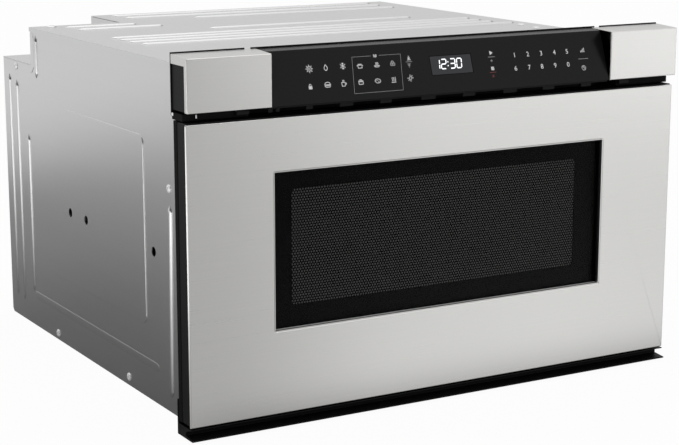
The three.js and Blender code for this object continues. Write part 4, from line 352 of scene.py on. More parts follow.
class Materials:
    """Makes each finish once, as a node material."""

    NOISE = {"Scale": 1.0, "Detail": 3.0, "Roughness": 0.6}
    NOISE_RANGE = (0.25, 0.75)
    BUMP_STRENGTH = 0.5

    def __init__(self) -> None:
        """Starts with no material made."""
        self._made: dict[str, bpy.types.Material] = {}

    def get(self, name: str) -> bpy.types.Material:
        """Gives the material of a finish.

        Args:
            name: Name of the finish.

        Returns:
            The node material, made on first use.
        """
        if name not in self._made:
            self._made[name] = self._build(FINISHES[name])
        return self._made[name]

    def _build(self, finish: Finish) -> bpy.types.Material:
        """Builds the node tree of one finish.

        Args:
            finish: Finish to build.

        Returns:
            The node material.
        """
        material = bpy.data.materials.new(finish.name)
        material.use_nodes = True
        tree = Tree(material.node_tree)
        shader = material.node_tree.nodes["Principled BSDF"]
        mapping = tree.add("ShaderNodeMapping")
        where = tree.add("ShaderNodeTexCoord").outputs["Object"]
        tree.set(mapping, {"Vector": where, "Scale": finish.grain})
        grain = tree.add("ShaderNodeTexNoise")
        tree.set(grain, {"Vector": mapping.outputs["Vector"], **self.NOISE})
        noise = grain.outputs["Fac"]
        colour = tree.add("ShaderNodeVectorMath")
        colour.operation = "SCALE"
        colour.inputs[0].default_value = finish.colour
        tree.set(colour, {"Scale": self._about(tree, noise, 1.0, finish.grain_depth)})
        tree.set(shader, {
            "Metallic": finish.metallic,
            "Anisotropic": finish.anisotropy,
            "Specular IOR Level": finish.specular,
            "Coat Weight": finish.coat,
            "Alpha": finish.alpha,
            "Emission Strength": finish.emission,
            "Emission Color": (*finish.colour, 1.0),
            "Base Color": colour.outputs["Vector"],
            "Roughness": self._about(tree, noise, finish.roughness, finish.roughness_depth),
        })
        if finish.bump:
            bump = tree.add("ShaderNodeBump")
            tree.set(bump, {
                "Strength": self.BUMP_STRENGTH, "Distance": finish.bump * MM, "Height": noise,
            })
            tree.set(shader, {"Normal": bump.outputs["Normal"]})
        if finish.anisotropy:
            tangent = tree.add("ShaderNodeTangent")
            tangent.direction_type = "RADIAL"
            tangent.axis = "Z"
            tree.set(shader, {"Tangent": tangent.outputs["Tangent"]})
        return material

    def _about(self, tree: Tree, noise: Source, middle: float, depth: float) -> Socket:
        """Spreads a noise value evenly about a middle value."""
        return tree.spread(noise, *self.NOISE_RANGE, max(middle - depth, 0.0), middle + depth)


MATERIALS = Materials()


# ---- Shaping ----


class Plane(Enum):
    """Plane that an outline is drawn on, with the axis that it is extruded along."""

    YZ = "X"
    XZ = "Y"
    XY = "Z"

    def point(self, a: float, b: float, depth: float) -> Vector:
        """Gives the place of (a, b) on this plane at a depth, in millimetres.

        Args:
            a: Triple along the plane's first axis.
            b: Triple along its second axis.
            depth: Triple along the axis that it is extruded along.

        Returns:
            The place in the frame of the CAD model.
        """
        if self is Plane.YZ:
            return Frame.at(depth, a, b)
        if self is Plane.XZ:
            return Frame.at(a, depth, b)
        return Frame.at(a, b, depth)


def sided(side: int, a: float, b: float) -> Point2:
    """Gives two distances from the middle, on the left for -1 and on the right for 1."""
    low, high = sorted((side * a, side * b))
    return low, high


def arc(centre: Point2, radius: float, start: float, end: float, steps: int) -> list[Point2]:
    """Gives points on an arc, with its angles in degrees."""
    angles = [math.radians(start + (end - start) * k / steps) for k in range(steps + 1)]
    return [(centre[0] + radius * math.cos(t), centre[1] + radius * math.sin(t)) for t in angles]


def circle(centre: Point2, radius: float) -> list[Point2]:
    """Gives the 24 corners of a round outline."""
    return arc(centre, radius, 0, 345, 23)


def rectangle(a: Point2, b: Point2) -> list[Point2]:
    """Gives the corners of a rectangle from its two ranges."""
    return [(a[0], b[0]), (a[1], b[0]), (a[1], b[1]), (a[0], b[1])]


def rounded(points: Sequence[Point2], radius: float, steps: int = 5) -> list[Point2]:
    """Rounds every corner of an outline.

    Args:
        points: Corners of the outline, in order.
        radius: Radius of each corner, cut down where an edge is short.
        steps: Pieces of each arc.

    Returns:
        The outline with its corners replaced by arcs.
    """
    out: list[Point2] = []
    count = len(points)
    for i in range(count):
        here = Vector(points[i])
        before, after = Vector(points[i - 1]) - here, Vector(points[(i + 1) % count]) - here
        half = before.angle(after) / 2
        cut = min(radius / math.tan(half), before.length * EDGE_SHARE, after.length * EDGE_SHARE)
        reach = cut * math.tan(half)
        start = here + before.normalized() * cut
        inward = (before.normalized() + after.normalized()).normalized()
        centre = here + inward * (reach / math.sin(half))
        sweep = (start - centre).angle_signed(here + after.normalized() * cut - centre)
        for k in range(steps + 1):
            spot = centre + Matrix.Rotation(-sweep * k / steps, 2) @ (start - centre)
            out.append((spot.x, spot.y))
    return out


def bead_section(width: float, height: float, power: float, foot: float) -> list[Point2]:
    """Gives the section of a pressed bead, across it and off the sheet.

    Args:
        width: Width in millimetres.
        height: Height over the sheet in millimetres.
        power: How narrow the crest is; 1 is half an ellipse.
        foot: Depth in millimetres that it reaches into the sheet.

    Returns:
        The closed section.
    """
    half = width / 2
    angles = [math.pi * k / 12 for k in range(13)]
    dome = [(half * math.cos(t), height * math.sin(t) ** power) for t in angles]
    return [(half, -foot), *dome, (-half, -foot)]


def extrude(bm: Work, points: Iterable[Vector | Triple], push: Vector | Triple) -> None:
    """Adds a closed block: a flat outline that is pushed off its plane.

    Args:
        bm: Mesh to add to.
        points: Outline in metres.
        push: How far and which way it is pushed, in metres.
    """
    face = bm.faces.new([bm.verts.new(point) for point in points])
    grown = bmesh.ops.extrude_face_region(bm, geom=[face])
    moved = [g for g in grown["geom"] if isinstance(g, bmesh.types.BMVert)]
    bmesh.ops.translate(bm, verts=moved, vec=push)


def add_prism(bm: Work, points: Iterable[Point2], plane: Plane, depths: Point2) -> None:
    """Adds an extruded outline to a mesh.

    Args:
        bm: Mesh to add to.
        points: Outline in millimetres.
        plane: Plane that the outline is drawn on.
        depths: Where the prism starts and ends.
    """
    low, high = depths
    push = plane.point(0, 0, high) - plane.point(0, 0, low)
    extrude(bm, [plane.point(a, b, low) for a, b in points], push)


def add_box(bm: Work, x: Point2, y: Point2, z: Point2) -> None:
    """Adds a block between two places on each axis."""
    add_prism(bm, rectangle(x, z), Plane.XZ, y)


def bevel(
    bm: Work, edges: Sequence[bmesh.types.BMEdge], width: float, segments: int,
    clamp: bool = True,
) -> None:
    """Rounds edges.

    Args:
        bm: Mesh to round.
        edges: Edges to round.
        width: Width of the bevel in millimetres.
        segments: Steps of each bevel.
        clamp: Narrows the bevel where an edge beside it is short.
    """
    bmesh.ops.bevel(
        bm, geom=edges, offset=width * MM, offset_type="OFFSET", segments=segments,
        profile=0.5, affect="EDGES", material=-1, clamp_overlap=clamp,
    )


def soften(bm: Work, width: float, segments: int = 2) -> None:
    """Rounds the hard edges of a mesh.

    Args:
        bm: Mesh to round.
        width: Width of the bevel in millimetres.
        segments: Steps of each bevel.
    """
    limit = math.radians(HARD_EDGE_ANGLE)
    edges = [e for e in bm.edges if len(e.link_faces) == 2 and e.calc_face_angle(0.0) > limit]
    bevel(bm, edges, width, segments)


def closed(bm: Work) -> bool:
    """Says whether every edge has just two faces."""
    return all(len(e.link_faces) == 2 for e in bm.edges)


def welded(mesh: Mesh, distance: float) -> Work:
    """Copies mesh data and joins vertices that lie within a distance in metres.

    Args:
        mesh: Mesh data to copy.
        distance: Distance within which vertices join.

    Returns:
        A mesh under work.
    """
    bm = bmesh.new()
    bm.from_mesh(mesh)
    bmesh.ops.remove_doubles(bm, verts=bm.verts, dist=distance)
    return bm


def cad_copy(node: bpy.types.Object) -> Work:
    """Copies a CAD node's mesh with the triangles of its flat faces merged.

    Args:
        node: Node to copy.

    Returns:
        A mesh under work.
    """
    bm = welded(node.data, CAD_WELD)
    flat = math.radians(FLAT_ANGLE)
    bmesh.ops.dissolve_limit(bm, angle_limit=flat, verts=bm.verts, edges=bm.edges)
    return bm


def shade(mesh: Mesh, smooth: float = SMOOTH_ANGLE) -> Mesh:
    """Shades mesh data smoothly up to an angle in degrees.

    Args:
        mesh: Mesh data to shade.
        smooth: Angle under which faces shade smoothly.

    Returns:
        The same mesh data.
    """
    mesh.shade_smooth()
    mesh.set_sharp_from_angle(angle=math.radians(smooth))
    return mesh


def finish_mesh(bm: Work, name: str, smooth: float = SMOOTH_ANGLE) -> Mesh:
    """Turns a mesh under work into mesh data.

    Args:
        bm: Mesh under work, freed here.
        name: Name of the data.
        smooth: Angle in degrees under which faces shade smoothly.

    Returns:
        The mesh data with its normals outward.
    """
    bmesh.ops.recalc_face_normals(bm, faces=bm.faces)
    if bm.calc_volume(signed=True) < 0.0:
        bmesh.ops.reverse_faces(bm, faces=bm.faces)
    mesh = bpy.data.meshes.new(name)
    bm.to_mesh(mesh)
    bm.free()
    return shade(mesh, smooth)


def place(
    name: str, data: Mesh, finish: str, body: Body = Body.CABINET,
    stands_for: str | None = None,
) -> None:
    """Puts a piece in the scene.

    Args:
        name: Name of the piece.
        data: Mesh data in the frame of the model.
        finish: Finish of the piece.
        body: CAD body that it rides on.
        stands_for: CAD node that it replaces.
    """
    piece = bpy.data.objects.new(name, data)
    bpy.context.scene.collection.objects.link(piece)
    data.materials.clear()
    data.materials.append(MATERIALS.get(finish))
    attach(piece, body.value)
    if stands_for:
        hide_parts(stands_for)
    flats = piece.modifiers.new("flats", "WEIGHTED_NORMAL")
    flats.keep_sharp = True
    flats.weight = 100
    LOG.info("piece %s on %s", name, body.value)


def settle(
    bm: Work, name: str, finish: str, body: Body = Body.CABINET,
    stands_for: str | None = None,
) -> None:
    """Turns a mesh under work into a piece of the scene; the arguments are as for place."""
    place(name, finish_mesh(bm, name), finish, body, stands_for)


def baked(thing: bpy.types.Object, *helpers: bpy.types.Object) -> Mesh:
    """Gives the mesh that an object's modifiers or curve settings make.

    Args:
        thing: Object to evaluate, removed here.
        helpers: Objects that it needs, removed with it.

    Returns:
        New mesh data.
    """
    for each in (thing, *helpers):
        bpy.context.scene.collection.objects.link(each)
    bpy.context.view_layer.update()
    graph = bpy.context.evaluated_depsgraph_get()
    mesh = bpy.data.meshes.new_from_object(thing.evaluated_get(graph))
    for each in (thing, *helpers):
        bpy.data.objects.remove(each)
    return mesh


def carve(mesh: Mesh, tools: Work) -> Mesh:
    """Cuts closed tools out of a mesh.

    Args:
        mesh: Mesh data to cut.
        tools: Closed tools, freed here.

    Returns:
        New mesh data.
    """
    blank = bpy.data.objects.new("blank", mesh)
    cutter = bpy.data.objects.new("cutter", finish_mesh(tools, "cutter"))
    step = blank.modifiers.new("cut", "BOOLEAN")
    step.operation = "DIFFERENCE"
    step.solver = "EXACT"
    step.object = cutter
    return shade(baked(blank, cutter))


def sweep_curve(
    name: str, paths: Sequence[Sequence[Point2]], section: Sequence[Point2], matrix: Matrix,
    taper: float,
) -> Mesh:
    """Sweeps a closed section along flat paths, with ends that die away.

    Args:
        name: Name of the data.
        paths: Lines on a plane, in millimetres.
        section: Closed section: across the path and off the plane, in millimetres.
        matrix: Turns plane coordinates in metres into the frame of the model.
        taper: Length of each dying end in millimetres.

    Returns:
        Closed mesh data.
    """
    thinnest = 0.05
    profile = bpy.data.curves.new("section", "CURVE")
    profile.dimensions = "2D"
    ring = profile.splines.new("POLY")
    ring.points.add(len(section) - 1)
    for point, (a, b) in zip(ring.points, section):
        point.co = (a * MM, b * MM, 0, 1)
    ring.use_cyclic_u = True
    profile_object = bpy.data.objects.new("section", profile)
    curve = bpy.data.curves.new(name, "CURVE")
    curve.dimensions = "3D"
    curve.twist_mode = "Z_UP"
    curve.bevel_mode = "OBJECT"
    curve.bevel_object = profile_object
    curve.use_fill_caps = True
    for path in paths:
        line = [Vector(p) for p in path]
        first, last = line[1] - line[0], line[-2] - line[-1]
        dying = min(taper, first.length * EDGE_SHARE, last.length * EDGE_SHARE)
        start, end = (
            [(tip + inward.normalized() * dying * share,
              max(math.sin(share * math.pi / 2), thinnest))
             for share in (0.0, 0.15, 0.3, 0.5, 0.75, 1.0)]
            for tip, inward in ((line[0], first), (line[-1], last))
        )
        stations = start + [(p, 1.0) for p in line[1:-1]] + end[::-1]
        spline = curve.splines.new("POLY")
        spline.points.add(len(stations) - 1)
        for point, (spot, radius) in zip(spline.points, stations):
            point.co = (spot.x * MM, spot.y * MM, 0, 1)
            point.radius = radius
    bm = welded(baked(bpy.data.objects.new(name, curve), profile_object), FINE_WELD)
    bm.transform(matrix)
    return finish_mesh(bm, name, smooth=60.0)


# ---- CAD nodes ----


@dataclass
class CarriedNodes:
    """CAD nodes whose shape is right: each gets its finish, and seen ones get rounded edges.

    Attributes:
        softened: Bevel width in millimetres of each node that gets rounded edges.
        left_out: Nodes that other pieces stand for.
        lips: Bevel width in millimetres of the edges round a node's front face.
    """

    FACE_DEPTH = 0.05
    LIP_ANGLE = 0.5
    LIP_SEGMENTS = 6

    softened: dict[str, float]
    left_out: frozenset[str]
    lips: dict[str, float]

    def build(self) -> None:
        """Dresses every carried node."""
        slots = {row["node"]: row["material_slot"] for row in frame["record"]["subparts"]}
        bodies = frame["record"]["behaviour"]["bodies"]
        body_of = {node: body for body, members in bodies.items() for node in members}
        for name, node in sorted(frame["nodes"].items()):
            if name in self.left_out:
                continue
            slot = Slot(slots[name])
            mesh = self._rounded(name, node) if name in self.softened else None
            if mesh:
                place(f"{name}_piece", mesh, slot.finish, Body(body_of[name]), name)
                continue
            node.data.materials.clear()
            node.data.materials.append(MATERIALS.get(slot.finish))

    def _rounded(self, name: str, node: bpy.types.Object) -> Mesh | None:
        """Copies a node's mesh with rounded edges, or gives None if that leaves it open.

        Args:
            name: Name of the node.
            node: The node.

        Returns:
            Mesh data, or None.
        """
        bm = cad_copy(node)
        if name in self.lips:
            front = min(v.co.y for v in bm.verts) + self.FACE_DEPTH * MM
            edges = [
                e for e in bm.edges
                if all(v.co.y < front for v in e.verts)
                and e.calc_face_angle(0.0) > self.LIP_ANGLE
            ]
            bevel(bm, edges, self.lips[name], self.LIP_SEGMENTS, clamp=False)
        soften(bm, self.softened[name])
        if closed(bm):
            return finish_mesh(bm, f"{name}_piece")
        LOG.info("%s keeps its hard edges", name)
        bm.free()
        return None


# ---- Sheet-metal body ----


@dataclass
class SidePanel:
    """Pressed side panel with beads, a raised field, holes and screws, in millimetres.

    Attributes:
        side: -1 for the left panel, 1 for the right.
        outer: Distance of the sheet's outer face from the middle.
        fold: Reach of the folded edges towards the middle.
        fold_stop: How far before the rear edge the top fold ends.
        front_fold_foot: Where the front fold starts over the bottom edge.
        beads: Y and Z of the ends of each bead; those near the bottom edge are fainter.
        field_outline: Outline of the raised field.
        strip: Outline of the folded strip beside the notch.
        strip_relief: How far the strip stands out.
        shelf: Height of the notch's foot.
        screw_top: Height that a screw of the right panel stays under.
        relief: How far the raised field stands out.
        buried: How far the strip and the field reach into the sheet.
        holes: Y and Z of each hole; the first two go through the raised field.
        screws: Y and Z of each screw.
    """

    side: int
    outer: float = 275.8
    sheet: float = 1.0
    fold: float = 9.2
    fold_stop: float = 10.0
    front_fold_foot: float = 24.0
    corner: float = 4.0
    bead_width: float = 9.5
    bead_height: float = 1.9
    bead_power: float = 1.15
    bead_foot: float = 0.4
    bead_taper: float = 8.0
    beads: tuple[Points, ...] = (
        ((575.5, 8), (575.5, 294)), ((550, 8), (550, 289)), ((514, 226), (514, 27)),
        ((99.5, 209), (104.8, -1)), ((479.5, 298), (479.5, 350)),
    )
    low_bead_height: float = 0.4
    low_beads: tuple[Points, ...] = (((512, 24), (133, 24)),)
    field_outline: Points = (
        (165, 66), (440, 66), (449, 75), (449, 217), (398, 266), (389, 273), (165, 273),
    )
    field_corner: float = 10.0
    strip: Points = ((486, 351), (496.3, 351), (496.3, 311.5), (505, 303), (495, 303), (486, 311))
    strip_relief: float = 0.4
    shelf: float = 312.3
    screw_top: float = 300.0
    relief: float = 0.85
    buried: float = 0.3
    hole_radius: float = 5.4
    holes: Points = ((379.4, 151), (330.7, 151), (143.4, 151))
    screws: Points = ((101.0, 226.0), (433.5, -8.0), (218.0, -6.6), (549.9, 305.5))
    screw_radius: float = 4.6

    @property
    def name(self) -> str:
        """Name of the CAD node."""
        return "left_side_panel" if self.side < 0 else "right_side_panel"

    def build(self) -> None:
        """Builds the plate, then its beads, field, strip and screws."""
        self._plate()
        self._beads()
        self._field()
        screws = self.screws
        if self.side < 0:
            self._notch_strip()
        else:
            screws = tuple(spot for spot in screws if spot[1] < self.screw_top)
        for i, (y, z) in enumerate(screws):
            seat = Frame.at(self.side * self.outer, y, z)
            outward = Vector((self.side, 0, 0))
            ScrewHead(f"{self.name}_screw_{i}", seat, outward, self.screw_radius).build()

    def _plate(self) -> None:
        """Builds the plate with its holes and folded edges."""
        (_, front, bottom), (_, rear, top) = Frame.corners(self.name)
        outline = [(front, bottom), (rear - self.corner, bottom), (rear, bottom + self.corner)]
        back = rear
        if self.side < 0:
            back = NOTCH_Y
            outline += [(rear, self.shelf), (back, self.shelf)]
        outline += [(back, top), (front, top)]
        bm = bmesh.new()
        depths = sided(self.side, self.outer - self.sheet, self.outer)
        add_prism(bm, outline, Plane.YZ, depths)
        drilled = carve(finish_mesh(bm, self.name), self._drills(self.holes, depths))
        plate = bmesh.new()
        plate.from_mesh(drilled)
        inner = sided(self.side, self.outer - self.fold, self.outer - self.sheet)
        under = top - self.sheet
        add_box(plate, inner, (front, back - self.fold_stop), (under, top))
        add_box(plate, inner, (front, front + self.sheet), (bottom + self.front_fold_foot, under))
        settle(plate, f"{self.name}_plate", "galvanised", stands_for=self.name)

    def _drills(self, holes: Points, depths: Point2) -> Work:
        """Gives the tools that cut holes.

        Args:
            holes: Y and Z of each hole.
            depths: Low and high face of what they cut.

        Returns:
            Closed tools.
        """
        low, high = depths
        tools = bmesh.new()
        for spot in holes:
            outline = circle(spot, self.hole_radius)
            add_prism(tools, outline, Plane.YZ, (low - DRILL_MARGIN, high + DRILL_MARGIN))
        return tools

    def _beads(self) -> None:
        """Builds the pressed beads."""
        turn = Matrix(((0, 0, self.side), (1, 0, 0), (0, 1, 0))).to_4x4()
        matrix = Matrix.Translation(Frame.at(self.side * self.outer, 0, 0)) @ turn
        for part, paths, height in (
            ("beads", self.beads, self.bead_height),
            ("low_bead", self.low_beads, self.low_bead_height),
        ):
            name = f"{self.name}_{part}"
            section = bead_section(self.bead_width, height, self.bead_power, self.bead_foot)
            mesh = sweep_curve(name, paths, section, matrix, self.bead_taper)
            place(name, mesh, "galvanised")

    def _notch_strip(self) -> None:
        """Builds the folded strip beside the notch."""
        bm = bmesh.new()
        depths = (-self.outer - self.strip_relief, -self.outer + self.buried)
        add_prism(bm, self.strip, Plane.YZ, depths)
        soften(bm, 0.2)
        settle(bm, "left_notch_strip", "galvanised")

    def _field(self) -> None:
        """Builds the raised field."""
        bm = bmesh.new()
        depths = sided(self.side, self.outer - self.buried, self.outer + self.relief)
        add_prism(bm, rounded(self.field_outline, self.field_corner), Plane.YZ, depths)
        soften(bm, 0.8, 3)
        mesh = carve(finish_mesh(bm, "field"), self._drills(self.holes[:2], depths))
        place(f"{self.name}_field", mesh, "galvanised")


@dataclass
class ScrewHead:
    """Pan head of a sheet-metal screw with a cross recess.

    Attributes:
        name: Name of the piece.
        seat: Middle of the head's foot, in metres.
        outward: Way that the head points.
        radius: Radius of the head in millimetres.
    """

    name: str
    seat: Vector
    outward: Vector
    radius: float

    PROFILE = ((0.0, 1.9), (0.45, 1.8), (0.78, 1.4), (0.95, 0.8), (1.0, 0.2), (1.0, -0.3))
    CROSS_SHARES = (0.55, 0.13)
    CROSS_TURN = 0.6
    CROSS_FOOT = 0.7
    CROSS_DEPTH = 2.4

    def build(self) -> None:
        """Spins the head's profile and cuts the recess."""
        bm = bmesh.new()
        line = [
            bm.verts.new((self.radius * share * MM, 0, height * MM))
            for share, height in self.PROFILE
        ]
        edges = [bm.edges.new(pair) for pair in zip(line, line[1:])]
        bmesh.ops.spin(
            bm, geom=line + edges, cent=(0, 0, 0), axis=(0, 0, 1), angle=math.tau, steps=20,
            use_merge=True,
        )
        bmesh.ops.remove_doubles(bm, verts=bm.verts, dist=WELD)
        bmesh.ops.holes_fill(bm, edges=[e for e in bm.edges if e.is_boundary], sides=0)
        turn = self.outward.to_track_quat("Z", "Y").to_matrix().to_4x4()
        matrix = Matrix.Translation(self.seat) @ turn
        bm.transform(matrix)
        head = finish_mesh(bm, self.name)
        tools = bmesh.new()
        cross = [(a * MM, b * MM, self.CROSS_FOOT * MM) for a, b in self._cross()]
        extrude(tools, cross, (0, 0, self.CROSS_DEPTH * MM))
        tools.transform(matrix)
        # Zinc with a painted glint: the head is lighter than the plain zinc finish.
        place(self.name, carve(head, tools), "zinc_painted_glint")

    def _cross(self) -> list[Point2]:
        """Gives the outline of the recess.

        Returns:
            Its corners, in millimetres.
        """
        reach, half = (self.radius * share for share in self.CROSS_SHARES)
        quarter = [(reach, -half), (reach, half), (half, half)]
        turns = [self.CROSS_TURN + math.pi / 2 * k for k in range(4)]
        return [
            (a * math.cos(t) - b * math.sin(t), a * math.sin(t) + b * math.cos(t))
            for t in turns for a, b in quarter
        ]


@dataclass
class TopPanel:
    """Top panel with a corner recess, turned-down edges and pressed ribs, in millimetres.

    Attributes:
        top: Height of the sheet's upper face.
        half: Half of the panel's width.
        notch_x: Right end of the recess.
        edge_foot: How far the turned-down edges reach down.
        ribs: Left end, right end and place behind the front of each rib.
    """

    top: float = 358.4
    half: float = 277.1
    sheet: float = 1.0
    notch_x: float = -156.7
    edge_foot: float = 5.0
    rib_width: float = 7.0
    rib_height: float = 2.1
    rib_power: float = 1.4
    rib_foot: float = 0.5
    rib_taper: float = 7.0
    screws: Points = ((252, 222), (246, 183))
    screw_radius: float = 4.6
    ribs: tuple[Triple, ...] = (
        (-138, 248, 573), (-133, 246, 542), (-53, 247, 506), (-261, -246, 482),
        (-243, -149, 465), (-240, -128, 433), (-96, 189, 373), (-243, 247, 325),
        (-243, 248, 301), (-243, 249, 276), (-239, 262, 250),
    )

    def build(self) -> None:
        """Builds the plate, its ribs and its screws."""
        (_, front, _), (_, rear, _) = Frame.corners("top_panel")
        half, inner = self.half, self.half - self.sheet
        outline = [(-half, front), (half, front), (half, rear), (self.notch_x, rear),
                   (self.notch_x, NOTCH_Y), (-half, NOTCH_Y)]
        bm = bmesh.new()
        add_prism(bm, outline, Plane.XY, (self.top - self.sheet, self.top))
        soften(bm, 0.45)
        edge = (self.top - self.edge_foot, self.top - self.sheet / 2)
        add_box(bm, (-half, -inner), (front, NOTCH_Y), edge)
        add_box(bm, (inner, half), (front, rear), edge)
        settle(bm, "top_panel_plate", "galvanised", stands_for="top_panel")
        paths = [[(x0, y), (x1, y)] for x0, x1, y in self.ribs]
        section = bead_section(self.rib_width, self.rib_height, self.rib_power, self.rib_foot)
        matrix = Matrix.Translation(Frame.at(0, 0, self.top))
        mesh = sweep_curve("top_panel_ribs", paths, section, matrix, self.rib_taper)
        place("top_panel_ribs", mesh, "galvanised")
        for i, (x, y) in enumerate(self.screws):
            seat, up = Frame.at(x, y, self.top), Vector((0, 0, 1))
            ScrewHead(f"top_panel_screw_{i}", seat, up, self.screw_radius).build()


# ---- Door window ----


@dataclass
class DoorScreen:
    """Perforated screen behind the door glass, in the choke plate's window, in millimetres.

    Attributes:
        window_depths: Where the window's cut starts and ends behind the front.
        overhang: How much wider and higher than the window the sheet is at least.
        pitch: Distance between two holes.
        hole: Radius of a hole.
        face: Triple of the perforated sheet behind the front.
        film_depths: Where the film starts and ends behind that face.
        sill: Ranges of the turned-in edge along the foot of the steel front's window, whose
        near-white finish is a painted highlight.
    """

    half_width: float = 179.5
    bottom: float = 109.0
    top: float = 231.0
    corner: float = 5.0
    window_depths: Point2 = (12.0, 15.13)
    overhang: Point2 = (4.0, 5.0)
    pitch: float = 3.2
    hole: float = 1.05
    sheet: float = 0.15
    face: float = 15.15
    film_depths: Point2 = (0.18, 0.58)
    film_margin: float = 4.0
    sill: Points = ((-206.2, 206.2), (1.6, 7.3), (87.75, 88.35))

    def build(self) -> None:
        """Cuts the choke plate's window and hangs the screen and film behind it."""
        plate = finish_mesh(cad_copy(frame["nodes"]["choke_screen"]), "choke_plate")
        tools = bmesh.new()
        window = rounded(self._opening(0.0), self.corner)
        add_prism(tools, window, Plane.XZ, self.window_depths)
        steel, drawer = Slot.BLACK_STEEL, Body.DRAWER
        place("choke_plate", carve(plate, tools), "screen_black", drawer, "choke_screen")
        place("choke_perforation", self._lattice(), "screen_black", drawer)
        film = bmesh.new()
        near, far = (self.face + depth for depth in self.film_depths)
        add_prism(film, self._opening(self.film_margin), Plane.XZ, (near, far))
        settle(film, "choke_film", "screen_film", drawer)
        # The sill's near-white finish paints the highlight along the window's foot.
        sill = bmesh.new()
        add_box(sill, *self.sill)
        soften(sill, 0.15)
        settle(sill, "window_sill", "sill_painted_highlight", drawer)

    def _opening(self, margin: float) -> list[Point2]:
        """Gives the window's corners, a margin outside it."""
        reach = self.half_width + margin
        return rectangle((-reach, reach), (self.bottom - margin, self.top + margin))

    def _lattice(self) -> Mesh:
        """Builds the sheet of six-sided holes by repeating two flat cells and thickening them.

        Returns:
            Closed mesh data.
        """
        row = self.pitch * math.sqrt(3) / 2
        more_x, more_z = self.overhang
        columns = math.ceil((2 * self.half_width + more_x) / self.pitch)
        pairs = math.ceil((self.top - self.bottom + more_z) / (2 * row))
        bm = bmesh.new()
        upright = Matrix.Rotation(math.pi / 2, 4, "X")
        for dx, dz in ((0.0, 0.0), (self.pitch / 2, row)):
            spot = Matrix.Translation(Vector((dx, 0, dz)) * MM)
            bmesh.ops.create_circle(
                bm, cap_ends=True, segments=6, radius=self.pitch / math.sqrt(3) * MM,
                matrix=spot @ upright,
            )
        cells = list(bm.faces)
        rim = self.pitch / 2 - self.hole * math.cos(math.pi / 6)
        bmesh.ops.inset_individual(bm, faces=cells, thickness=rim * MM)
        bmesh.ops.delete(bm, geom=cells, context="FACES_ONLY")
        bmesh.ops.remove_doubles(bm, verts=bm.verts, dist=FINE_WELD)
        mesh = bpy.data.meshes.new("choke_perforation")
        bm.to_mesh(mesh)
        bm.free()
        cell = bpy.data.objects.new("cell", mesh)
        for count, offset in ((columns, (self.pitch, 0, 0)), (pairs, (0, 0, 2 * row))):
            step = cell.modifiers.new("repeat", "ARRAY")
            step.count = count
            step.use_relative_offset = False
            step.use_constant_offset = True
            step.constant_offset_displace = Vector(offset) * MM
        bm = welded(baked(cell), WELD)
        bmesh.ops.solidify(bm, geom=bm.faces, thickness=self.sheet * MM)
        front = min(v.co.y for v in bm.verts)
        corner = Frame.at(
            -(columns - 0.5) * self.pitch / 2, self.face,
            (self.bottom + self.top) / 2 - (2 * pairs - 1) * row / 2,
        )
        bmesh.ops.translate(bm, verts=bm.verts, vec=corner - Vector((0, front, 0)))
        LOG.info("perforation closed: %s", closed(bm))
        return finish_mesh(bm, "choke_perforation", smooth=20.0)


# ---- Control panel ----


@dataclass
class FasciaPlane:
    """The sloping face of the control panel.

    Attributes:
        base: Y and Z of the face's bottom edge, in millimetres.
        run: How far the top edge leans back.
        rise: Height of the face.
    """

    base: Point2 = (-4.3, 318.9)
    run: float = 18.9
    rise: float = 53.2

    @property
    def matrix(self) -> Matrix:
        """Turns (X, up the face, off the face) in metres into the frame of the model.

        Returns:
            The matrix.
        """
        up = Vector((0, self.run, self.rise)).normalized()
        out = Vector((1, 0, 0)).cross(up)
        turn = Matrix((Vector((1, 0, 0)), up, out)).transposed().to_4x4()
        return Matrix.Translation(Frame.at(0, *self.base)) @ turn


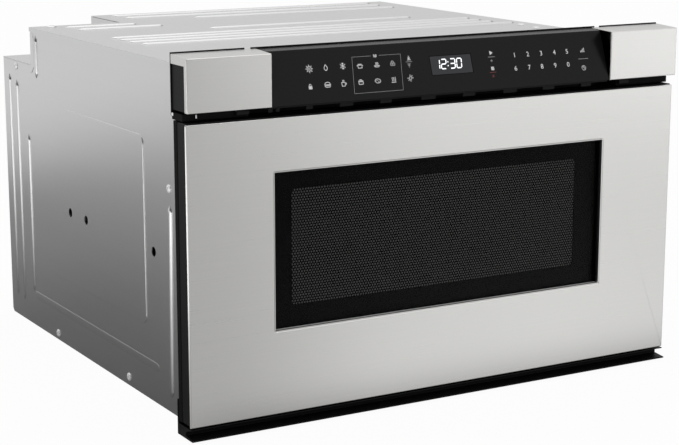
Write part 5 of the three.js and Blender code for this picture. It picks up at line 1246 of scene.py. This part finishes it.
# Pictograms on a square from -1 to 1, their strokes parted by "|": "l" is a line through x, y
# pairs, "o" a ring with its middle and radius.
GLYPHS: dict[str, str] = {
    "gear": (
        "o 0 0 .55|o 0 0 .2|l 0 .6 0 .95|l 0 -.6 0 -.95|l .6 0 .95 0|l -.6 0 -.95 0|"
        "l .42 .42 .68 .68|l -.42 .42 -.68 .68|l .42 -.42 .68 -.68|l -.42 -.42 -.68 -.68"
    ),
    "lock": (
        "l -.5 -.7 .5 -.7 .5 0 -.5 0 -.5 -.7|l -.5 -.5 .5 -.5|l -.5 -.3 .5 -.3|"
        "l -.5 -.15 .5 -.15|l -.3 0 -.3 .4 -.12 .62 .12 .62 .3 .4 .3 0"
    ),
    "drop": "l 0 .9 .5 .1 .5 -.35 .2 -.75 -.2 -.75 -.5 -.35 -.5 .1 0 .9",
    "flake": (
        "l 0 .9 0 -.9|l .78 .45 -.78 -.45|l -.78 .45 .78 -.45|l -.25 .75 0 .5 .25 .75|"
        "l -.25 -.75 0 -.5 .25 -.75"
    ),
    "bun": "l -.9 0 -.6 .55 0 .7 .6 .55 .9 0 -.9 0|l -.85 -.25 .85 -.25 .6 -.65 -.6 -.65 -.85 -.25",
    "cup": (
        "l -.7 .3 .4 .3 .3 -.7 -.6 -.7 -.7 .3|l .38 .15 .75 .1 .7 -.3 .33 -.3|"
        "l -.3 .5 -.2 .7 -.3 .9|l .05 .5 .15 .7 .05 .9"
    ),
    "pot": (
        "l -.7 .2 .7 .2 .6 -.65 -.6 -.65 -.7 .2|l -.95 .05 -.7 .05|l .7 .05 .95 .05|"
        "l -.55 .45 .55 .45"
    ),
    "plate": (
        "l -.9 -.3 .9 -.3 .5 -.65 -.5 -.65 -.9 -.3|l -.35 0 -.2 .3 -.35 .6|l 0 0 .15 .3 0 .6|"
        "l .35 0 .5 .3 .35 .6"
    ),
    "kernel": "o -.4 -.2 .4|o .4 -.2 .4|o 0 .4 .4",
    "box": "l -.7 -.6 .7 -.6 .7 .4 -.7 .4 -.7 -.6|l -.7 .15 .7 .15|l -.3 .7 .3 .7",
    "oval": (
        "l -.9 0 -.55 .5 .1 .6 .75 .35 .9 -.1 .5 -.5 -.3 -.55 -.9 0|l -.3 .1 -.15 .15|"
        "l .2 -.15 .35 -.1"
    ),
    "steam": (
        "l -.7 -.7 .7 -.7|l -.5 -.35 -.35 0 -.5 .35 -.35 .7|l 0 -.35 .15 0 0 .35 .15 .7|"
        "l .5 -.35 .65 0 .5 .35 .65 .7"
    ),
    "sun": (
        "o 0 0 .38|l 0 .58 0 .9|l 0 -.58 0 -.9|l .58 0 .9 0|l -.58 0 -.9 0|l .42 .42 .65 .65|"
        "l -.42 -.42 -.65 -.65"
    ),
    "out": "l 0 .75 0 -.5|l -.5 0 0 -.6 .5 0|l -.8 -.85 .8 -.85",
    "in": "l 0 -.75 0 .5|l -.5 0 0 .6 .5 0|l -.8 .85 .8 .85",
    "play": "l -.5 .7 .7 0 -.5 -.7 -.5 .7|l -.35 .4 .4 0 -.35 -.4 -.35 .3|l -.2 .1 .1 0 -.2 -.1",
    "stop": (
        "l -.6 .6 .6 .6 .6 -.6 -.6 -.6 -.6 .6|l -.3 .3 .3 .3 .3 -.3 -.3 -.3 -.3 .3|l -.1 0 .1 0"
    ),
    "plus": "l -.7 0 .7 0|l 0 .7 0 -.7",
    "cross": "l -.6 .6 .6 -.6|l -.6 -.6 .6 .6",
    "bars": "l -.7 -.6 -.7 -.2|l -.25 -.6 -.25 .1|l .2 -.6 .2 .4|l .65 -.6 .65 .75",
    "clock": "o 0 0 .75|l 0 .45 0 0 .35 -.15",
    "waves": (
        "l -.9 0 -.6 .3 -.3 0 0 -.3 .3 0 .6 .3 .9 0|"
        "l -.9 .5 -.6 .8 -.3 .5 0 .2 .3 .5 .6 .8 .9 .5|"
        "l -.9 -.5 -.6 -.2 -.3 -.5 0 -.8 .3 -.5 .6 -.2 .9 -.5"
    ),
}

# Each mark: pictogram, its middle across and up the panel, and half its size, in millimetres.
MARKS: dict[str, tuple[tuple[str, float, float, float], ...]] = {
    "print_white": (
        ("gear", -162, 36, 4.2), ("lock", -164, 18, 3.6), ("drop", -143, 36, 3.6),
        ("bun", -144, 18.5, 3.8), ("flake", -123, 36.5, 3.6), ("cup", -125, 18.5, 3.8),
        ("waves", -83.5, 44.6, 2.0), ("pot", -103, 35.5, 3.6), ("plate", -83, 35.5, 3.6),
        ("kernel", -64, 35.5, 3.4), ("box", -105, 18.5, 3.6), ("oval", -85, 18.5, 3.8),
        ("steam", -66, 18.5, 3.6), ("out", -43.6, 40.3, 2.5), ("sun", -45.5, 19.0, 3.8),
        ("play", 59.3, 39.6, 2.7), ("stop", 58.3, 22.6, 2.6), ("bars", 180, 35.5, 3.4),
        ("clock", 178, 15.8, 3.3),
    ),
    "print_grey": (("in", -44.3, 32.0, 2.3), ("plus", 58.7, 31.0, 1.9)),
    "print_red": (("cross", 57.5, 14.4, 1.9),),
}

# Rules of each colour with their width: from one place across and up the panel to another.
RULES: dict[str, tuple[tuple[float, tuple[Line, ...]], ...]] = {
    "print_white": (),
    "print_grey": (
        (0.26, ((-110.8, 45, -88.5, 45), (-78.5, 45, -52.7, 45), (-52.7, 45, -56.5, 7.2),
                (-56.5, 7.2, -114.6, 7.2), (-114.6, 7.2, -110.8, 45))),
        (0.42, ((-47.5, 36.2, -40.3, 36.2), (55, 35.2, 63.5, 35.2), (173, 26, 186, 26))),
    ),
    "print_red": ((0.42, ((54, 18.5, 62, 18.5),)),),
}

# Rows of digits: place up the panel, digits and their places across it.
DIGITS: tuple[tuple[float, str, tuple[float, ...]], ...] = (
    (35.2, "12345", (89.3, 106.7, 124.4, 142.1, 159.1)),
    (20.7, "67890", (88, 105.7, 122.7, 140.3, 157.8)),
)


@dataclass
class PanelPrint:
    """Printed marks of the control panel: pictograms, rules and plain digits.

    Attributes:
        plane: The panel's face.
        lift: Height of the print over the face, in millimetres.
        small_stroke: Width of a pictogram's lines where half its size is under small_size.
        overlap: Share of a line's width that it is lengthened by.
        font_scale: Font size for a digit of height 1.
    """

    plane: FasciaPlane
    lift: float = 0.03
    thickness: float = 0.05
    stroke: float = 0.62
    small_stroke: float = 0.48
    small_size: float = 2.4
    overlap: float = 0.8
    digit_height: float = 5.2
    font_scale: float = 1.42

    def build(self) -> None:
        """Builds every mark, rule and digit."""
        for finish, marks in MARKS.items():
            bm = bmesh.new()
            for mark in marks:
                self._pictogram(bm, *mark)
            for width, lines in RULES[finish]:
                for line in lines:
                    self._line(bm, line, width)
            bm.transform(self.plane.matrix)
            place(f"panel_{finish}", finish_mesh(bm, finish), finish)
        for up, signs, places in DIGITS:
            for sign, x in zip(signs, places):
                self._digit(sign, x, up)

    def _pictogram(self, bm: Work, glyph: str, x: float, up: float, size: float) -> None:
        """Adds the strokes of one pictogram.

        Args:
            bm: Mesh to add to.
            glyph: Name of the pictogram.
            x: Its middle across the panel.
            up: Its middle up the panel.
            size: Half its size.
        """
        width = self.stroke if size > self.small_size else self.small_stroke
        for stroke in GLYPHS[glyph].split("|"):
            kind, *words = stroke.split()
            values = [float(word) for word in words]
            if kind == "o":
                centre = (x + values[0] * size, up + values[1] * size)
                points = arc(centre, values[2] * size, 0, 360, 16)
            else:
                pairs = zip(values[::2], values[1::2])
                points = [(x + a * size, up + b * size) for a, b in pairs]
            for a, b in zip(points, points[1:]):
                self._line(bm, (*a, *b), width)

    def _line(self, bm: Work, line: Line, width: float) -> None:
        """Adds one thin bar from one place to another.

        Args:
            bm: Mesh to add to.
            line: Start and end, each across and up the panel.
            width: Width of the bar.
        """
        a, b = Vector(line[:2]), Vector(line[2:])
        length = (b - a).length + width * self.overlap
        middle = (a + b) / 2
        turn = Matrix.Rotation(math.atan2((b - a).y, (b - a).x), 4, "Z")
        size = Matrix.Diagonal((length * MM, width * MM, self.thickness * MM, 1))
        height = self.lift + self.thickness / 2
        spot = Matrix.Translation(Vector((middle.x, middle.y, height)) * MM)
        bmesh.ops.create_cube(bm, size=1.0, matrix=spot @ turn @ size)

    def _digit(self, sign: str, x: float, up: float) -> None:
        """Builds one digit as a thin closed mesh.

        Args:
            sign: The digit.
            x: Its middle across the panel.
            up: Its middle up the panel.
        """
        name = f"panel_digit_{sign}"
        curve = bpy.data.curves.new(name, "FONT")
        curve.body = sign
        curve.size = self.digit_height * self.font_scale * MM
        curve.align_x = "CENTER"
        curve.align_y = "CENTER"
        curve.extrude = self.thickness / 2 * MM
        curve.resolution_u = 4
        bm = welded(baked(bpy.data.objects.new(name, curve)), FINE_WELD)
        spot = Matrix.Translation(Vector((x, up, 2 * self.lift)) * MM)
        bm.transform(self.plane.matrix @ spot)
        settle(bm, name, "print_white")


@dataclass
class ClockDisplay:
    """Display window with a lit clock reading made of segments.

    Attributes:
        plane: The panel's face.
        window: Range of the window across and up the panel, in millimetres.
        window_depths: Where the window starts and ends off the face.
        advance: Distance from one digit to the next.
        colon_advance: Share of that distance that the colon takes.
        colon_spots: Height of each dot of the colon, as a share of a digit's height.
        colon_half: Half of a dot's height.
        bar: Width of a segment.
        bar_gap: Gap at a segment's end, as a share of its width.
        slant: How far a digit leans to the right for its height.
        lit_depths: Where the lit bars start and end off the face.
        segments: Lit segments of each digit.
    """

    plane: FasciaPlane
    window: tuple[Point2, Point2] = ((-17.9, 32.9), (20.3, 40.0))
    window_depths: Point2 = (-2.2, -0.05)
    window_corner: float = 0.6
    reading: str = "12:30"
    left: float = -13.6
    bottom: float = 25.6
    height: float = 11.2
    width: float = 5.9
    advance: float = 8.1
    colon_advance: float = 0.38
    colon_spots: Point2 = (0.32, 0.68)
    colon_shift: float = 0.2
    colon_half: float = 0.45
    bar: float = 1.15
    bar_gap: float = 0.55
    slant: float = 0.10
    lit_depths: Point2 = (0.02, 0.07)
    segments: dict[str, str] = field(default_factory=lambda: {
        "0": "abcdef", "1": "bc", "2": "abged", "3": "abgcd",
    })

    def build(self) -> None:
        """Builds the window and the reading."""
        bm = bmesh.new()
        outline = rounded(rectangle(*self.window), self.window_corner, 3)
        self._block(bm, outline, self.window_depths)
        bm.transform(self.plane.matrix)
        settle(bm, "display_window", "display_black", stands_for="display_lens")
        lit = bmesh.new()
        x = self.left
        for sign in self.reading:
            if sign == ":":
                dot = x + self.colon_shift
                for share in self.colon_spots:
                    middle = share * self.height
                    self._bar(lit, (dot, middle - self.colon_half, dot, middle + self.colon_half))
                x += self.advance * self.colon_advance
                continue
            for name in self.segments[sign]:
                self._bar(lit, self._ends(name, x))
            x += self.advance
        lit.transform(self.plane.matrix)
        settle(lit, "display_reading", "digits")

    @staticmethod
    def _block(bm: Work, outline: Iterable[Point2], depths: Point2) -> None:
        """Adds a block that stands on the panel's face."""
        low, high = depths
        extrude(bm, [(a * MM, b * MM, low * MM) for a, b in outline], (0, 0, (high - low) * MM))

    def _ends(self, name: str, x: float) -> Line:
        """Gives the ends of a named segment of the sign that starts at x.

        Args:
            name: Letter of the segment.
            x: Start of the sign.

        Returns:
            Start and end, each across and up from the reading's foot.
        """
        w, h, gap = self.width, self.height, self.bar * self.bar_gap
        top, middle, low = h - self.bar / 2, h / 2, self.bar / 2
        return {
            "a": (x + gap, top, x + w - gap, top),
            "g": (x + gap, middle, x + w - gap, middle),
            "d": (x + gap, low, x + w - gap, low),
            "b": (x + w, top - gap, x + w, middle + gap),
            "c": (x + w, middle - gap, x + w, low + gap),
            "f": (x, top - gap, x, middle + gap),
            "e": (x, middle - gap, x, low + gap),
        }[name]

    def _bar(self, bm: Work, ends: Line) -> None:
        """Adds one lit bar with pointed ends.

        Args:
            bm: Mesh to add to.
            ends: Start and end, each across and up from the reading's foot.
        """
        x0, y0, x1, y1 = ends
        a = Vector((x0 + y0 * self.slant, self.bottom + y0))
        b = Vector((x1 + y1 * self.slant, self.bottom + y1))
        along = (b - a).normalized()
        across = Vector((-along.y, along.x)) * self.bar / 2
        tip = along * self.bar / 2 * 0.5
        outline = [a - tip, a - across, b - across, b + tip, b + across, a + across]
        self._block(bm, outline, self.lit_depths)


@dataclass
class GapDetails:
    """What shows in the slit under the control panel, and the band round the door's body.

    Attributes:
        lips: Start and end of each louvre lip, in millimetres from the middle.
        lip_box: Ranges of the lips on Y and Z.
        tab_box: Ranges of the tab at a corner of the body.
        seal_box: Ranges of the seal at an end of the slit.
        band_x: Outer and inner face of the band beside the door.
        band_z: Foot, inner and outer face of the band over the door. The band's dark rubber
        is painted shade for the gap behind the door's frame.
    """

    lips: Points = (
        (-245, -231), (-210, -205), (-201, -197), (-167, -159), (-128, -112), (-80, -66),
        (-30, -12), (22, 38), (74, 92), (126, 142), (178, 192), (231, 245),
    )
    lip_box: Points = ((5.0, 9.0), (312.2, 316.9))
    pin: Point2 = (-291.0, 0.6)
    pin_radius: float = 0.75
    pin_depths: Point2 = (313.4, 317.2)
    tab_box: Points = ((301.0, 303.1), (29.0, 32.8), (313.2, 316.2))
    seal_box: Points = ((230.0, 302.2), (9.0, 32.6), (309.5, 316.5))
    band_x: Point2 = (302.9, 301.6)
    band_z: Triple = (1.2, 308.2, 309.0)
    band_depths: Point2 = (20.3, 27.9)

    def build(self) -> None:
        """Builds the lips, the pin, the tabs, the seals and the band."""
        lips = bmesh.new()
        for ends in self.lips:
            add_box(lips, ends, *self.lip_box)
        soften(lips, 0.8, 3)
        settle(lips, "gap_louvre_lips", "lip_grey")
        pin = bmesh.new()
        add_prism(pin, circle(self.pin, self.pin_radius), Plane.XY, self.pin_depths)
        soften(pin, 0.3)
        settle(pin, "gap_guide_pin", "zinc")
        tabs, seals = (self._both_sides(box) for box in (self.tab_box, self.seal_box))
        # The tabs are zinc with a painted glint.
        settle(tabs, "corner_tabs", "zinc_painted_glint")
        settle(seals, "gap_end_seals", "rubber")
        # Dark band behind the door's frame: painted shade for the gap there.
        (x, inner_x), (foot, inner_z, z) = self.band_x, self.band_z
        outline = [(-x, foot), (-x, z), (x, z), (x, foot), (inner_x, foot), (inner_x, inner_z),
                   (-inner_x, inner_z), (-inner_x, foot)]
        band = bmesh.new()
        add_prism(band, outline, Plane.XZ, self.band_depths)
        soften(band, 0.25)
        settle(band, "door_gap_shade_band", "rubber", Body.DRAWER)

    @staticmethod
    def _both_sides(box: Points) -> Work:
        """Gives a rounded block on the left and its twin on the right.

        Args:
            box: Ranges of the right block on X, Y and Z.

        Returns:
            Both, as one mesh under work.
        """
        bm = bmesh.new()
        x, y, z = box
        for side in (-1, 1):
            add_box(bm, sided(side, *x), y, z)
        soften(bm, 0.6, 3)
        return bm


# ---- Studio ----


@dataclass(frozen=True)
class Lamp:
    """A soft area lamp.

    Attributes:
        name: Name of the lamp.
        spot: Where it hangs, in metres.
        aim: What it points at, in metres.
        size: Width and height in metres.
        power: Watts.
        turn: Turn about its own beam, in degrees.
    """

    name: str
    spot: Triple
    aim: Triple
    size: Point2
    power: float
    turn: float = 0.0


@dataclass
class Studio:
    """Camera, floor, world and lamps.

    Attributes:
        eye: Camera's place in millimetres on the drawer's front.
        yaw: Turn of the view to the right of straight back, in degrees.
        dip: Angle of the view below the horizon, in degrees.
        focal: Focal length in pixels of the picture.
        plain: Strength of the even light from the world.
        glow_cap: Most strength that the glows add up to.
        glows: Bright parts of the world in reflections: direction, cosines of the outer and
            inner edge, and strength.
        paper: Share of pure white in what the camera sees of the floor.
        floor_parting: Y in metres where the floor's front turns into its rear in reflections.
        floor_rear: Slope of the lines of one grey on the rear, then its greys to the rear: a
            painted shadow, darker near the drawer.
        floor_left: The same for the share of white on the rear, from far left to near: the
            painted shadow's left side, dark near the drawer.
        floor_front: The same for the greys on the front, from left to right: painted shade
            and light.
    """

    eye: Triple = (-1015.86, -1534.51, 569.86)
    yaw: float = 29.96
    dip: float = 11.99
    focal: float = 1766.08
    sensor: float = 36.0
    plain: float = 0.78
    glow_cap: float = 1.35
    glows: tuple[tuple[Vector, float, float, float], ...] = (
        (Vector((0.49, 0.85, 0.10)), 0.30, 0.90, 0.72),
        (Vector((0.10, -0.10, 1.0)), 0.50, 0.85, 0.85),
        (Vector((0.50, -0.64, 0.62)), 0.92, 0.98, 1.35),
        (Vector((-0.50, 0.80, 0.35)), 0.84, 0.97, 0.60),
    )
    floor_size: float = 6.0
    floor_drop: float = 0.0005
    floor_grey: float = 0.72
    floor_roughness: float = 0.9
    paper: float = 0.96
    floor_parting: Point2 = (-0.42, -0.22)
    floor_rear: tuple[float, Points] = (0.17, (
        (-0.3, 0.08), (0.2, 0.13), (0.6, 0.24), (0.95, 0.27), (1.1, 0.33), (1.25, 0.62),
        (1.7, 0.88),
    ))
    floor_left: tuple[float, Points] = (1.7, ((-1.3, 1.0), (-0.65, 0.0)))
    floor_front: tuple[float, Points] = (0.585, (
        (-0.8, 0.50), (-0.45, 0.58), (-0.25, 0.92), (0.0, 1.0), (0.4, 0.90),
    ))
    lamps: tuple[Lamp, ...] = (
        Lamp("right", (1.9, -1.9, 0.60), (0.1, -0.30, 0.17), (0.9, 1.2), 3.4),
        Lamp("front", (1.15, -2.5, 0.60), (0.0, -0.30, 0.17), (0.8, 1.2), 3.0),
        Lamp("overhead", (-0.2, 0.2, 2.2), (0.0, 0.0, 0.3), (2.2, 2.2), 9.0),
        Lamp("left_card", (-1.54, -0.29, 0.02), (-1.54, -0.29, 1.0), (1.4, 3.0), 17.0, -30.4),
    )

    def build(self) -> None:
        """Builds the whole studio."""
        self._camera()
        self._world()
        self._floor()
        for lamp in self.lamps:
            self._lamp(lamp)
        bpy.context.scene.view_settings.view_transform = "Standard"

    def _camera(self) -> None:
        """Puts the camera at the picture's viewpoint."""
        data = bpy.data.cameras.new("camera")
        data.sensor_width = self.sensor
        data.lens = self.focal * self.sensor / IMAGE_WIDTH
        camera = bpy.data.objects.new("camera", data)
        camera.location = Frame.at(*self.eye)
        camera.rotation_euler = (math.radians(90 - self.dip), 0, math.radians(-self.yaw))
        bpy.context.scene.collection.objects.link(camera)
        bpy.context.scene.camera = camera

    def _world(self) -> None:
        """Gives an even light, a white background and glows for reflections."""
        world = bpy.data.worlds.new("studio")
        bpy.context.scene.world = world
        world.use_nodes = True
        tree = Tree(world.node_tree)
        path = tree.add("ShaderNodeLightPath")
        where = tree.add("ShaderNodeTexCoord").outputs["Generated"]
        unit = self._vector(tree, "NORMALIZE", "Vector", where)
        total: Source = 0.0
        for direction, outer, inner, strength in self.glows:
            facing = self._vector(tree, "DOT_PRODUCT", "Value", unit, direction.normalized())
            lobe = tree.spread(facing, outer, inner, 0.0, strength, smooth=True)
            total = tree.maths("ADD", total, lobe)
        capped = tree.maths("MINIMUM", total, self.glow_cap)
        glow = tree.maths("MULTIPLY", capped, path.outputs["Is Glossy Ray"])
        even = tree.maths("MULTIPLY", path.outputs["Is Diffuse Ray"], self.plain)
        level = tree.maths("MAXIMUM", tree.maths("MAXIMUM", glow, even), tree.seen(path))
        background = world.node_tree.nodes["Background"]
        tree.set(background, {"Color": (1, 1, 1, 1), "Strength": level})

    @staticmethod
    def _vector(tree: Tree, operation: str, output: str, *sources: Socket | Vector) -> Socket:
        """Works a vector or a value out of vectors.

        Args:
            tree: Tree to add to.
            operation: What is done with them.
            output: Name of the result's output.
            sources: One or two vectors.

        Returns:
            The result.
        """
        node = tree.add("ShaderNodeVectorMath")
        node.operation = operation
        for socket, source in zip(node.inputs, sources):
            tree.feed(socket, source)
        return node.outputs[output]

    def _floor(self) -> None:
        """Lays a pale floor that fades into the background and keeps the object's shadow."""
        bm = bmesh.new()
        bmesh.ops.create_grid(bm, x_segments=8, y_segments=8, size=self.floor_size)
        floor = bpy.data.objects.new("floor", finish_mesh(bm, "floor"))
        floor.location.z = -self.floor_drop
        bpy.context.scene.collection.objects.link(floor)
        material = bpy.data.materials.new("floor")
        material.use_nodes = True
        floor.data.materials.append(material)
        tree, nodes = Tree(material.node_tree), material.node_tree.nodes
        paint = nodes["Principled BSDF"]
        tree.set(paint, {
            "Base Color": (self.floor_grey, self.floor_grey, self.floor_grey, 1),
            "Roughness": self.floor_roughness,
            "Specular IOR Level": 0.0,
        })
        path = tree.add("ShaderNodeLightPath")
        seen, glossy = tree.seen(path), path.outputs["Is Glossy Ray"]
        # In reflections the floor glows with a painted shadow of the drawer and painted light.
        painted_shadow_glow = tree.maths("MULTIPLY", glossy, self._painted_floor_shadow(tree))
        glow = tree.add("ShaderNodeEmission")
        tree.set(glow, {"Strength": tree.maths("MAXIMUM", seen, painted_shadow_glow)})
        share = tree.maths("MAXIMUM", tree.maths("MULTIPLY", seen, self.paper), glossy)
        mix = tree.add("ShaderNodeMixShader")
        for socket, source in zip(
            mix.inputs, (share, paint.outputs["BSDF"], glow.outputs["Emission"])
        ):
            tree.feed(socket, source)
        tree.set(nodes["Material Output"], {"Surface": mix.outputs["Shader"]})

    def _painted_floor_shadow(self, tree: Tree) -> Socket:
        """Gives the grey that the floor shows in reflections.

        Args:
            tree: Tree to add to.

        Returns:
            The grey: painted shadow, darker near the drawer, and painted light in front.
        """
        # Painted shadow and light: greys set by place, darker near the drawer at the left and rear.
        split = tree.add("ShaderNodeSeparateXYZ")
        tree.set(split, {"Vector": tree.add("ShaderNodeTexCoord").outputs["Object"]})
        x, y = split.outputs["X"], split.outputs["Y"]
        rear, left, front = (
            tree.ramp(tree.slope(along, slope, across), stops)
            for along, across, (slope, stops) in (
                (y, x, self.floor_rear), (y, x, self.floor_left), (x, y, self.floor_front),
            )
        )
        behind = tree.spread(y, *self.floor_parting, 0.0, 1.0)
        before = tree.maths("SUBTRACT", 1.0, behind)
        return tree.maths(
            "ADD",
            tree.maths("MULTIPLY", behind, tree.maths("MAXIMUM", rear, left)),
            tree.maths("MULTIPLY", before, front),
        )

    @staticmethod
    def _lamp(lamp: Lamp) -> None:
        """Hangs one lamp.

        Args:
            lamp: Lamp to hang.
        """
        data = bpy.data.lights.new(lamp.name, "AREA")
        data.shape = "RECTANGLE"
        data.size, data.size_y = lamp.size
        data.energy = lamp.power
        thing = bpy.data.objects.new(lamp.name, data)
        thing.location = lamp.spot
        beam = (Vector(lamp.aim) - Vector(lamp.spot)).to_track_quat("-Z", "Y")
        turn = Quaternion((0, 0, 1), math.radians(lamp.turn))
        thing.rotation_euler = (beam @ turn).to_euler()
        thing.visible_camera = False
        bpy.context.scene.collection.objects.link(thing)


def main() -> None:
    """Builds the studio and dresses the whole drawer."""
    Studio().build()
    softened = {
        "door_skin": 0.45, "door_frame": 0.5, "left_corner_trim": 0.4,
        "right_corner_trim": 0.4, "control_fascia": 0.7, "control_housing": 0.3,
        "bottom_channel": 0.3, "rear_corner_cover": 0.3, "base_pan": 0.3, "rear_panel": 0.2,
        "front_frame": 0.3, "choke_cover": 0.3, "drawer_tub": 0.3, "tub_tray": 1.2,
        "left_drawer_bracket": 0.3, "right_drawer_bracket": 0.3,
    }
    replaced = frozenset({
        "left_side_panel", "right_side_panel", "top_panel", "choke_screen", "display_lens",
    })
    lips = {"door_skin": 1.4, "left_corner_trim": 1.0, "right_corner_trim": 1.0}
    CarriedNodes(softened, replaced, lips).build()
    for side in (-1, 1):
        SidePanel(side).build()
    TopPanel().build()
    DoorScreen().build()
    plane = FasciaPlane()
    PanelPrint(plane).build()
    ClockDisplay(plane).build()
    GapDetails().build()


if __name__ == "__main__":
    main()
